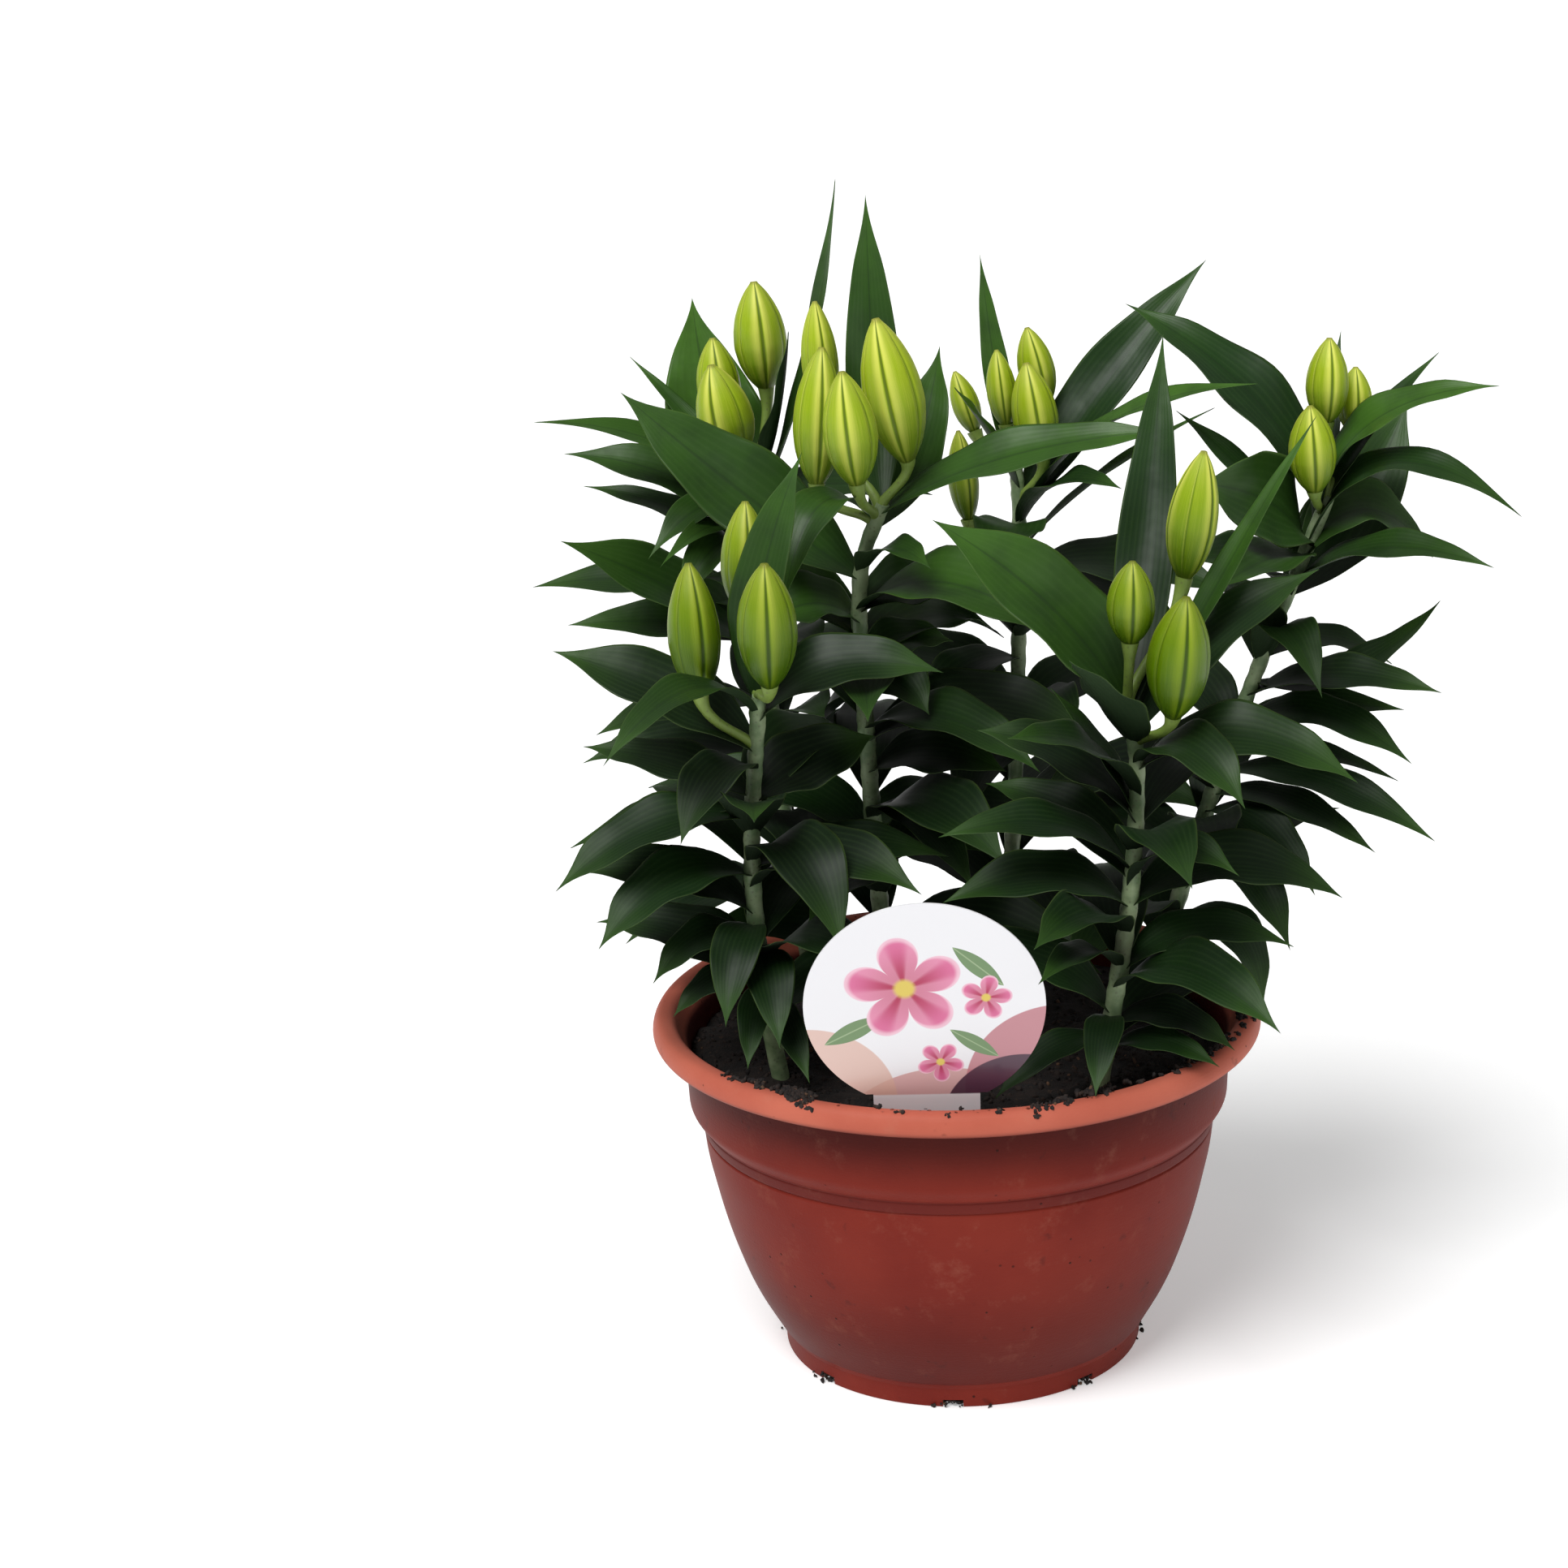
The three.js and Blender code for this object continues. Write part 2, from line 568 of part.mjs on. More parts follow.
// Pot, label and the soil with a plain round hole for each stem and a slot for the label's stake
addMesh('pot', potGeometry(), materials.pot);
addMesh('label', labelGeometry(0), materials.label);
let soil = soilSolid().subtract(solid(labelGeometry(gap)));
for (const name of names) {
  const foot = curves[name].getPoint(0);
  const wide = stemRadius + holeRoom;
  const hole = taperedStem(curves[name], wide, stemTopRadius + holeRoom, stemSides, stemSteps);
  hole.translate(0, 0, -gap);
  const pocket = turned(bulbProfile(gap), bulbSides);
  pocket.translate(foot.x, foot.y, foot.z - gap);
  const bulb = bulbGeometry();
  bulb.translate(foot.x, foot.y, foot.z - gap);
  soil = soil.subtract(solid(hole)).subtract(solid(pocket));
  addMesh(`bulb_${name}`, bulb, materials.bulb);
}
addMesh('soil', geometryOf(soil), materials.soil);

// Stems with their stalks, and the buds on them
const plants = {};
let fixed = soilSolid().add(solid(labelGeometry(gap))).add(solid(potGeometry()));
for (const name of names) {
  let body = solid(taperedStem(curves[name], stemRadius, stemTopRadius, stemSides, stemSteps));
  budPlaces[name].forEach((place, order) => {
    const bud = budGeometry(place);
    addMesh(`bud_${name}${order + 1}`, bud, materials.bud);
    body = body.add(solid(stalkGeometry(curves[name], place)));
    fixed = fixed.add(solid(bud));
  });
  plants[name] = body;
}

// A leaf takes the first nudge that is clear of everything else and doesn't cross its own plant
// beyond the root zone, or else the one that crosses its own plant least. With none it is left out.
function placeLeaf(name, row, stations, mayCross) {
  const foot = stemPlace(curves[name], row[0]);
  const obstacles = [fixed, ...names.filter((other) => other !== name).map((other) => plants[other])];
  let best = null;
  let least = mayCross;
  for (const nudge of nudges) {
    const shape = leafShape(foot, row, nudge, stations);
    const room = solid(blade(shape, { extraSide: clearSide, extraFace: clearFace }));
    const clear = obstacles.every((body) => room.intersect(body).volume() === 0);
    if (!clear) continue;
    const crossed = solid(blade(shape, { skipRoot: true })).intersect(plants[name]).volume();
    if (crossed < least) {
      best = shape;
      least = crossed;
    }
    if (crossed === 0) break;
  }
  if (best) plants[name] = plants[name].add(solid(blade(best)));
}

// The leaves that show are placed first, and the spiral's leaves where room is left
for (const name of names) {
  shownLeaves[name].forEach((row) => placeLeaf(name, row, shownStations, Infinity));
}
for (const name of names) {
  spiralRows(name).forEach((row) => placeLeaf(name, row, spiralStations, crossingAllowed));
}
for (const name of names) {
  const pieces = plants[name].decompose().sort((one, other) => other.volume() - one.volume());
  addMesh(`leafy_stem_${name}`, geometryOf(pieces[0]), materials.stem);
}

export default lily;
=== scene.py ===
"""A potted oriental lily in bud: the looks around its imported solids.

Lengths in the tables are millimetres in the part's own frame, and meshes are metres.
The front of the pot is towards -Y.
"""

import math
import random

import bpy
import numpy as np
from mathutils import Matrix, Vector, kdtree, noise


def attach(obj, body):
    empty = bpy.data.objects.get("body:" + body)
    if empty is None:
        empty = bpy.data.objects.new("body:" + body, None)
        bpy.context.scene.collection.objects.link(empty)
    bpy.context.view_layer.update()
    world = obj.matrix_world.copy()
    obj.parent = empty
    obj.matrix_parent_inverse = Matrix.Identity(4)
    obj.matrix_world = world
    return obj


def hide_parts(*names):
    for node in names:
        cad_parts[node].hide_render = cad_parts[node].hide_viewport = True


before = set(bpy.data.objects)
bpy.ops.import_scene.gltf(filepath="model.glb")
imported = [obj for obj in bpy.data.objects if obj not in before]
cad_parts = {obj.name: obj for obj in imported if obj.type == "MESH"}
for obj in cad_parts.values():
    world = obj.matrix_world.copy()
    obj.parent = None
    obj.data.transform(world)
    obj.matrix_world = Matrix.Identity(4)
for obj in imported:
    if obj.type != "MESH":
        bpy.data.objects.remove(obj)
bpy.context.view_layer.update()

MM = 0.001
TAU = 2 * math.pi
SQUARE = ((-1, -1), (1, -1), (1, 1), (-1, 1))
scene = bpy.context.scene

# Pot and soil
POT_HEIGHT = 158.5
FOOT_RADIUS = 80.5
FOOT_HEIGHT = 10.5
FOOT_RING = 9
PAD_RADIUS = 22
UNDERSIDE = 3
WALL = 2.5
DRAIN_HOLES = 6
DRAIN_RADIUS = 5
DRAIN_CIRCLE = 48
FOOT_NOTCHES = 8
NOTCH_TURN = math.radians(41.4)
NOTCH_ANGLES = [NOTCH_TURN + notch / FOOT_NOTCHES * TAU for notch in range(FOOT_NOTCHES)]
NOTCH_WIDTH = 9
NOTCH_HEIGHT = 3.5
POT_SIDES = 144
SOIL_LEVEL = 142
SOIL_RADIUS = 118
SOIL_BOTTOM = 6.2
SOIL_WAVE = 1.6
SOIL_EDGE_FALL = 2.5
SOIL_LUMPS = 2.2
SOIL_SIDES = 120

# Label
LABEL_RADIUS = 49.3
LABEL_THICKNESS = 0.8
LABEL_CENTRE = Vector((-13, -124, 202.5))
LABEL_LEAN = math.radians(13)
NECK_HALF = 22
NECK_TOP = -42.5
STAKE_SHOULDER = -64
STAKE_TIP = -112

# Plants
STEM_FOOT = 112
STEM_RADIUS = 4.2
STEM_TOP_RADIUS = 3
STALK_RADIUS = 2.3
STALK_SPRING = 0.25
STALK_MEET = 0.45
STALK_ENTRY = 1.2
SWELL_LENGTH = 2.2
FRONT_TURN = 32

# A leaf: its fold, how far along its midline knees and falls, the lifts there as shares of its arch, the
# blade's thickness at the foot and what it loses to the tip, and how near a tip has to be to the solid's
LEAF_FOLD = math.radians(16)
KNEE_ALONG, KNEE_LIFT = 0.3, 1.6
FALL_ALONG, FALL_LIFT = 0.7, 1.05
LEAF_NECK = 0.12
LEAF_FALLING = 0.12
TIP_TAPER = 0.76
LEAF_THICKNESS = 0.55
LEAF_THINNING = 0.3
TIP_NEAR = 0.3

# Places on each stem's centre line
STEM_POINTS = {
    "a": [(-72, -42, STEM_FOOT), (-82, -49, 180), (-85, -54, 245), (-80, -60, 307), (-79, -63, 318)],
    "b": [(-28, 18, STEM_FOOT), (-36, 10, 260), (-37, 5, 355), (-27, 1, 384)],
    "c": [(-60, 60, STEM_FOOT), (-72, 69, 180), (-81, 72, 270), (-85, 72, 382)],
    "d": [(17, 84, STEM_FOOT), (26, 94, 180), (31, 95, 270), (33, 95, 354), (32, 98, 382)],
    "e": [(55, -64, STEM_FOOT), (66, -72, 180), (74, -72, 235), (76, -75, 294), (72, -78, 313)],
    "f": [(76, 34, STEM_FOOT), (98, 38, 180), (118, 39, 245), (141, 40, 309), (168, 45, 374)],
}

# Buds: tip, foot, greatest width, how high on the stem the stalk starts, and how far the bud is turned
BUDS = {
    "a": [((-83, -40, 395), (-84, -44, 347), 21, 314, 40),
          ((-106, -60, 374), (-103, -65, 319), 22, 292, 50),
          ((-73, -95, 381), (-73, -88, 328), 25, 316, 34)],
    "b": [((-54, 20, 468), (-51, 22, 420), 16, 380, 46), ((-51, 4, 451), (-55, 2, 392), 22, 374, 38),
          ((-42, -28, 446), (-37, -24, 397), 23, 376, 26), ((-28, -5, 464), (-16, 1, 402), 26, 382, 24)],
    "c": [((-83, 82, 468), (-79, 80, 420), 24, 380, 38), ((-102, 78, 444), (-98, 77, 404), 20, 372, 36),
          ((-101, 48, 437), (-92, 51, 393), 25, 358, 14)],
    "d": [((24, 103, 432), (28, 101, 397), 14, 376, 30), ((38, 108, 441), (46, 108, 405), 17, 380, 42),
          ((37, 90, 428), (44, 89, 384), 21, 362, 34), ((5, 118, 420), (14, 114, 392), 13, 376, 30),
          ((6, 90, 398), (10, 90, 356), 14, 340, 50)],
    "e": [((105, -60, 416), (97, -57, 362), 21, 312, 70), ((74, -91, 378), (73, -88, 343), 20, 312, 32),
          ((95, -100, 365), (90, -92, 313), 26, 296, 36)],
    "f": [((168, 50, 443), (167, 50, 405), 19, 372, 36), ((181, 62, 428), (181, 61, 398), 16, 374, 34),
          ((157, 24, 418), (160, 29, 379), 21, 366, 30)],
}

# Leaves that show: height on the stem, compass direction, reach, rise, width, arch, roll
SHOWN_LEAVES = {
    "a": [
        (292, 171, 85, 42, 38, 6, -12), (308, -139, 95, 2, 22, 20, 0), (304, 0, 78, 21, 32, 16, 20),
        (272, 160, 78, 16, 28, 4, 0), (284, -121, 55, -17, 28, 14, 0), (270, 31, 60, 19, 36, 4, 20),
        (262, -163, 85, -22, 32, 12, 0), (266, 159, 87, -25, 26, 6, 0), (236, -153, 71, -20, 34, 14, 0),
        (242, -57, 73, -21, 36, 26, 0), (240, 15, 86, -4, 30, 8, 0), (213, -103, 50, -27, 24, 14, 0),
        (200, -79, 54, -23, 24, 12, 0), (186, -97, 43, -22, 16, 6, 0), (180, -75, 57, -19, 16, 6, 0),
        (204, -156, 48, -9, 24, 12, 0), (188, -161, 40, -11, 18, 8, 0), (314, 29, 24, 103, 26, 8, 25),
    ],
    "b": [
        (383, 108, 43, 127, 26, -10, 0), (376, -133, 63, -24, 24, 26, 0), (378, -8, 127, 38, 30, 9, 10),
        (372, 54, 52, 72, 32, -10, 0), (352, -61, 63, 15, 22, 10, 0), (282, -33, 89, -7, 34, 14, 0),
        (245, -43, 60, -25, 24, 12, 0), (300, -44, 40, -4, 32, 10, 0), (308, 17, 42, 10, 30, 8, 0),
        (350, 169, 103, 80, 46, -2, -34), (335, 11, 55, 4, 42, 8, 0), (262, -15, 62, 4, 40, 8, 0),
        (330, -170, 45, 0, 40, 10, 0),
    ],
    "c": [
        (370, 125, 49, 87, 48, -12, -28), (370, -25, 44, 146, 16, -8, 35), (348, 178, 99, 62, 22, 20, 0),
        (364, 155, 67, 68, 12, 4, 0), (350, -179, 87, 43, 30, 12, -10), (340, 164, 84, 35, 20, 8, 0),
        (342, -138, 63, 13, 26, 26, 0), (330, -123, 74, 26, 18, 24, 0), (297, -160, 93, 65, 42, 6, -24),
        (330, -168, 56, 18, 28, 26, 0), (275, -151, 87, 1, 30, 8, 0), (240, -40, 79, 68, 34, 8, 0),
        (318, 161, 115, 13, 28, 10, -10), (304, -172, 89, 31, 28, 6, -10), (372, -9, 80, 3, 36, 6, 0),
        (300, -62, 56, 15, 40, 8, 0), (262, -56, 58, 13, 40, 8, 0), (376, -30, 20, 73, 26, -4, 0),
    ],
    "d": [
        (374, 115, 35, 98, 14, -4, 0), (354, 16, 95, 113, 32, 6, 25), (350, -30, 119, 76, 22, 20, 0),
        (352, -45, 70, 28, 24, 12, 0), (340, -13, 90, 69, 10, 6, 0), (310, -93, 55, 14, 34, 10, 0),
        (300, -56, 90, 13, 34, 10, 0), (262, -71, 79, 15, 32, 12, 0), (300, -123, 77, 38, 30, 6, 0),
        (290, -138, 67, -20, 30, 10, 0), (352, -143, 52, 10, 36, 6, 0), (330, -18, 100, -3, 40, 8, 0),
        (280, -140, 75, -26, 40, 8, 0), (320, -143, 65, -15, 40, 8, 0), (325, -31, 72, -23, 40, 10, 0),
        (368, -155, 31, 51, 20, 2, 0),
    ],
    "e": [
        (310, 75, 75, 146, 27, -6, 0), (306, 175, 80, 86, 48, 10, -24), (300, 14, 84, 63, 34, 10, 0),
        (288, -48, 61, -6, 32, 16, 0), (240, -164, 84, 25, 28, 14, 0), (262, 177, 66, 41, 38, 10, 0),
        (232, -38, 54, 17, 26, 16, 0), (196, 9, 76, 6, 26, 14, 0), (172, -17, 54, -6, 22, 10, 0),
        (160, -31, 54, 3, 18, 8, 0), (176, -107, 48, -17, 18, 10, 0), (166, -146, 59, -13, 18, 8, 0),
        (198, -129, 80, 20, 20, 10, 0), (225, -171, 79, 8, 34, 12, 0), (298, 18, 80, 124, 14, 2, 0),
        (296, -121, 56, 50, 32, 2, 0), (262, -177, 35, 59, 14, 4, 0),
    ],
    "f": [
        (366, 155, 97, 87, 38, 14, 0), (360, 60, 52, 80, 12, 0, 0), (370, 18, 50, 66, 14, 4, 0),
        (364, -11, 77, 60, 28, 20, 0), (350, -14, 94, 18, 24, 32, 0), (332, -32, 97, 21, 26, 14, 0),
        (352, -143, 64, 53, 48, 8, -74), (330, 44, 84, 77, 44, -10, 10), (345, 153, 60, 64, 18, 6, 0),
        (300, -117, 50, 54, 34, 10, 0), (292, -10, 82, 39, 26, -14, 0), (285, -25, 93, 13, 30, 8, 0),
        (270, -24, 82, -8, 28, 14, 0), (250, -23, 100, -22, 26, 10, 0), (262, -7, 76, -21, 14, 6, 0),
        (240, -22, 76, -20, 22, 8, 0), (232, -47, 65, -25, 26, 12, 0), (214, -51, 62, -32, 26, 14, 0),
        (300, -64, 67, 11, 26, 22, 0), (302, 9, 66, -10, 24, 10, 0), (346, 22, 62, -14, 42, 22, 0),
        (180, -42, 49, -31, 26, 20, 0), (330, -146, 55, 18, 40, 8, 0), (348, -163, 79, -10, 38, 4, 0),
    ],
}

# Leaves between them follow the stem's spiral: first height, count, first direction, reach, width
SPIRAL_LEAVES = {
    "a": (170, 9, 20, 84, 34), "b": (168, 15, 200, 94, 38), "c": (168, 9, 80, 88, 36),
    "d": (170, 9, 150, 92, 38), "e": (165, 11, 40, 82, 32), "f": (170, 9, 100, 86, 34),
}
SPIRAL_TURN = 137.5
SPIRAL_SPACING = 12
SPIRAL_RISE = 16
SPIRAL_ARCH = 14

# They stray from it in a wave: its pace, and how far reach, rise, width, arch and roll go
STRAY_PACE = 2.4
STRAY = (10, -18, 3, 4, 8)

# A leaf may stand turned and lifted by one of these from its row, in degrees and millimetres
NUDGES = [
    (0, 0), (6, 0), (-6, 0), (0, 6), (0, -6), (12, 0), (-12, 0), (8, 10), (-8, 10), (8, -10), (-8, -10),
    (18, 4), (-18, 4), (0, 16), (0, -16), (24, 8), (-24, 8), (24, -10), (-24, -10), (32, 0), (-32, 0),
    (40, 12), (-40, 12), (40, -16), (-40, -16),
]

# A bud's fullness from foot to tip
BUD_SWELL = [
    (0, 0.2), (0.03, 0.34), (0.08, 0.52), (0.14, 0.68), (0.25, 0.88), (0.4, 1), (0.55, 0.97), (0.68, 0.86),
    (0.8, 0.66), (0.9, 0.43), (0.96, 0.24), (0.99, 0.11),
]

# Marks along a petal: how far one stands out, as a share of the bud's radius, and how wide it is
GROOVE = (-0.07, 0.07)
RIDGE = (0.025, 0.09)
SEAM = (-0.06, 0.07)
RIDGE_PLACE = 0.19
PETAL_BULGE = 0.03
BUD_FIT = 0.985

# Crumbs on the rim: angle seen from above, spread along the rim, count, distance from the pot's axis
RIM_CRUMBS = [
    (-124, 1.8, 34, 124), (-122, 1.6, 20, 128), (-119, 0.8, 8, 131), (-133, 2.2, 12, 127),
    (-75, 1, 8, 130), (-70, 0.8, 6, 127), (-62, 3, 20, 124), (-45, 6, 9, 127), (-20, 9, 18, 129),
    (2, 6, 12, 131), (-95, 20, 6, 130),
]
RIM_CROWN = 128
RIM_EDGE = 131
RIM_FALL = 1.1
NOTCH_CRUMBS = 26
NOTCH_MOUTH_CRUMBS = 4
DROPS = 26

# The card's print, in millimetres from its middle. Rounds: place, radius, strength, colour.
# Leaflets: place, length, width, turn. Blossoms: place, radius, turn.
CARD_ROUNDS = [
    (8, -84, 54, 0.85, (200, 150, 148)), (-48, -46, 36, 0.8, (212, 172, 156)),
    (56, -40, 40, 0.9, (182, 112, 122)), (40, -58, 34, 0.95, (62, 36, 58)),
]
CARD_LEAFLETS = [(-29, -11, 14, 4.2, 0.5), (22, 19, 14, 4, 2.4), (20, -18, 12, 3.6, -0.6)]
CARD_BLOSSOMS = [(-8, 9, 25, 0.4), (25, 4, 11, 1.3), (6, -27, 10, 2.2)]

# The camera stands where the photo's did
CAMERA_PLACE = (0, -1.4, 0.681)
CAMERA_DOWN = math.radians(16.77)
CAMERA_LEAN = math.radians(-1.18)
CAMERA_LENS = 76.99
CAMERA_SHIFT = -207 / 1932

# The floor lies just under the pot, in millimetres
FLOOR_HALF = 15000
FLOOR_LEVEL = -0.05


# Meshes

def add_object(name, data):
    piece = bpy.data.objects.new(name, data)
    scene.collection.objects.link(piece)
    return piece


def dressed(mesh, finish, smooth=True):
    """Puts a finish on a mesh and the mesh in the scene, under its own name"""
    if smooth:
        mesh.shade_smooth()
    mesh.materials.append(finish)
    return add_object(mesh.name, mesh)


def baked(piece):
    """A piece's mesh as its modifier leaves it"""
    graph = bpy.context.evaluated_depsgraph_get()
    return bpy.data.meshes.new_from_object(
        piece.evaluated_get(graph), preserve_all_data_layers=True, depsgraph=graph)


def polar(radius, angle):
    return radius * math.cos(angle), radius * math.sin(angle)


def circle(sides):
    return [polar(1, k / sides * TAU) for k in range(sides)]


def make_mesh(name, points, faces=(), edges=(), values=None):
    """Points in millimetres become a mesh in metres; values are named numbers or vectors for each point"""
    mesh = bpy.data.meshes.new(name)
    mesh.from_pydata((np.asarray(points, float) * MM).tolist(), list(edges), list(faces))
    for label, numbers in (values or {}).items():
        numbers = np.asarray(numbers, np.float32)
        kind = "FLOAT_VECTOR" if numbers.ndim == 2 else "FLOAT"
        layer = mesh.attributes.new(label, kind, "POINT")
        layer.data.foreach_set("vector" if numbers.ndim == 2 else "value", numbers.ravel())
    mesh.update()
    return mesh


def grid_faces(rings, sides):
    """Quads between rings of points that go round anticlockwise seen from the end"""
    faces = []
    for ring in range(rings - 1):
        for side in range(sides):
            following = (side + 1) % sides
            low, high = ring * sides, (ring + 1) * sides
            faces.append((low + side, low + following, high + following, high + side))
    return faces


def closed_skin(rings, sides):
    """As grid_faces, with a point at each end, which come after the rings' points"""
    faces = grid_faces(rings, sides)
    first, last = rings * sides, rings * sides + 1
    top = (rings - 1) * sides
    for side in range(sides):
        following = (side + 1) % sides
        faces.append((first, following, side))
        faces.append((last, top + side, top + following))
    return faces


# Node trees

def maths(operation, swapped=False):
    """A method of a wire that adds one Math node"""
    def method(self, *others):
        values = (*others, self) if swapped else (self, *others)
        return self.maker.node("ShaderNodeMath", dict(enumerate(values)), {"operation": operation})

    return method


class Wire:
    """A socket that takes part in sums: an expression on it adds the Math nodes"""

    def __init__(self, maker, socket):
        self.maker = maker
        self.socket = socket

    __add__ = __radd__ = maths("ADD")
    __sub__ = maths("SUBTRACT")
    __rsub__ = maths("SUBTRACT", swapped=True)
    __mul__ = __rmul__ = maths("MULTIPLY")
    __truediv__ = maths("DIVIDE")
    __pow__ = maths("POWER")
    __abs__ = maths("ABSOLUTE")
    sine = maths("SINE")
    cosine = maths("COSINE")
    at_least = maths("MAXIMUM")
    compass = maths("ARCTAN2")

    def out(self, name):
        return Wire(self.maker, self.socket.node.outputs[name])

    def between(self, low, high):
        """0 below low and 1 above high, smooth in between"""
        values = {"Value": self, "From Min": low, "From Max": high}
        return self.maker.node("ShaderNodeMapRange", values, {"interpolation_type": "SMOOTHSTEP"})


class Maker:
    """Adds nodes to one tree"""

    def __init__(self, tree):
        self.tree = tree

    def node(self, kind, inputs=None, settings=None, output=0):
        made = self.tree.nodes.new(kind)
        for name, value in (settings or {}).items():
            setattr(made, name, value)
        for name, value in (inputs or {}).items():
            socket = made.inputs[name]
            if isinstance(value, Wire):
                self.tree.links.new(value.socket, socket)
            else:
                socket.default_value = value
        return Wire(self, made.outputs[output]) if made.outputs else made

    def added(self, first, second):
        return self.node("ShaderNodeVectorMath", {0: first, 1: second}, {"operation": "ADD"})

    def scaled(self, vector, factor):
        return self.node("ShaderNodeVectorMath", {0: vector, "Scale": factor}, {"operation": "SCALE"})

    def parts(self, vector):
        split = self.node("ShaderNodeSeparateXYZ", {0: vector})
        return split, split.out("Y"), split.out("Z")

    def joined(self, x, y, z):
        return self.node("ShaderNodeCombineXYZ", {0: x, 1: y, 2: z})

    def length(self, vector):
        return self.node("ShaderNodeVectorMath", {0: vector}, {"operation": "LENGTH"}, "Value")


def linear(screen):
    return screen / 255 / 12.92 if screen <= 10 else ((screen / 255 + 0.055) / 1.055) ** 2.4


def colour(red, green, blue):
    """A colour as seen on a screen, 0 to 255, as the linear values that the nodes use"""
    return (linear(red), linear(green), linear(blue), 1)


class Finish(Maker):
    """A material built on one Principled shader"""

    def __init__(self, name, **constants):
        self.material = bpy.data.materials.new(name)
        self.material.use_nodes = True
        super().__init__(self.material.node_tree)
        self.shader = self.tree.nodes["Principled BSDF"]
        for label, value in constants.items():
            self.shader.inputs[self.socket_name(label)].default_value = value
        self.place = self.node("ShaderNodeTexCoord").out("Object")

    @staticmethod
    def socket_name(label):
        return label.replace("_", " ").title().replace("Ior", "IOR")

    def feed(self, **wires):
        for label, wire in wires.items():
            self.tree.links.new(wire.socket, self.shader.inputs[self.socket_name(label)])

    def read(self, label, output=2):
        """What the mesh keeps under the name: a number, or a vector by that output's name"""
        return self.node("ShaderNodeAttribute", None, {"attribute_name": label}, output)

    def mix(self, factor, first, second, blend="MIX"):
        """Each of the two is a wire or a colour as seen on a screen; 6, 7 and 2 are the colour sockets"""
        first, second = (tone if isinstance(tone, Wire) else colour(*tone) for tone in (first, second))
        settings = {"data_type": "RGBA", "blend_type": blend}
        return self.node("ShaderNodeMix", {0: factor, 6: first, 7: second}, settings, 2)

    def coats(self, skin, *coats):
        """Lays colours over the skin in turn, each where its factor says"""
        for factor, tone in coats:
            skin = self.mix(factor, skin, tone)
        return skin

    def speckle(self, scale, detail=3.0, roughness=0.55, place=None):
        """Soft noise from 0 to 1"""
        values = {"Vector": place or self.place, "Scale": scale, "Detail": detail, "Roughness": roughness}
        return self.node("ShaderNodeTexNoise", values)

    def cells(self, scale):
        """Distance from the middle of the nearest of many cells"""
        return self.node("ShaderNodeTexVoronoi", {"Vector": self.place, "Scale": scale})

    def bump(self, height, distance, strength=1.0):
        values = {"Height": height, "Distance": distance, "Strength": strength}
        self.feed(normal=self.node("ShaderNodeBump", values))


class Grower(Maker):
    """A Geometry Nodes tree that ends in Realize Instances and Set Material"""

    def __init__(self, name, **inputs):
        super().__init__(bpy.data.node_groups.new(name, "GeometryNodeTree"))
        face = self.tree.interface
        face.new_socket("Geometry", in_out="INPUT", socket_type="NodeSocketGeometry")
        kinds = {float: "NodeSocketFloat", int: "NodeSocketInt", type(None): "NodeSocketMaterial"}
        for label, value in inputs.items():
            socket = face.new_socket(label, in_out="INPUT", socket_type=kinds[type(value)])
            if value is not None:
                socket.default_value = value
        face.new_socket("Geometry", in_out="OUTPUT", socket_type="NodeSocketGeometry")
        self.entry = self.node("NodeGroupInput")

    def given(self, label):
        return self.entry.out(label)

    def ring(self, label):
        """A circle with as many points as the named input says"""
        return self.node("GeometryNodeCurvePrimitiveCircle", {"Resolution": self.given(label), "Radius": 1})

    def line(self, mesh):
        return self.node("GeometryNodeMeshToCurve", {"Mesh": mesh})

    def named(self, label, kind="FLOAT"):
        return self.node("GeometryNodeInputNamedAttribute", {"Name": label}, {"data_type": kind})

    def store(self, geometry, label, value, kind="FLOAT_VECTOR", domain="POINT"):
        inputs = {"Geometry": geometry, "Name": label, "Value": value}
        return self.node("GeometryNodeStoreNamedAttribute", inputs, {"data_type": kind, "domain": domain})

    def close(self, geometry):
        smooth = self.node("GeometryNodeSetShadeSmooth", {"Geometry": geometry})
        real = self.node("GeometryNodeRealizeInstances", {"Geometry": smooth})
        painted = self.node("GeometryNodeSetMaterial", {"Geometry": real, "Material": self.given("Finish")})
        self.node("NodeGroupOutput", {0: painted})

    def grow(self, name, mesh, **inputs):
        """Runs the tree on a mesh and keeps the result as a plain piece"""
        seedling = add_object(name + "_lines", mesh)
        modifier = seedling.modifiers.new("grower", "NODES")
        modifier.node_group = self.tree
        for item in self.tree.interface.items_tree:
            if item.name in inputs:
                modifier[item.identifier] = inputs[item.name]
        grown = baked(seedling)
        grown.name = name
        bpy.data.objects.remove(seedling)
        return add_object(name, grown)


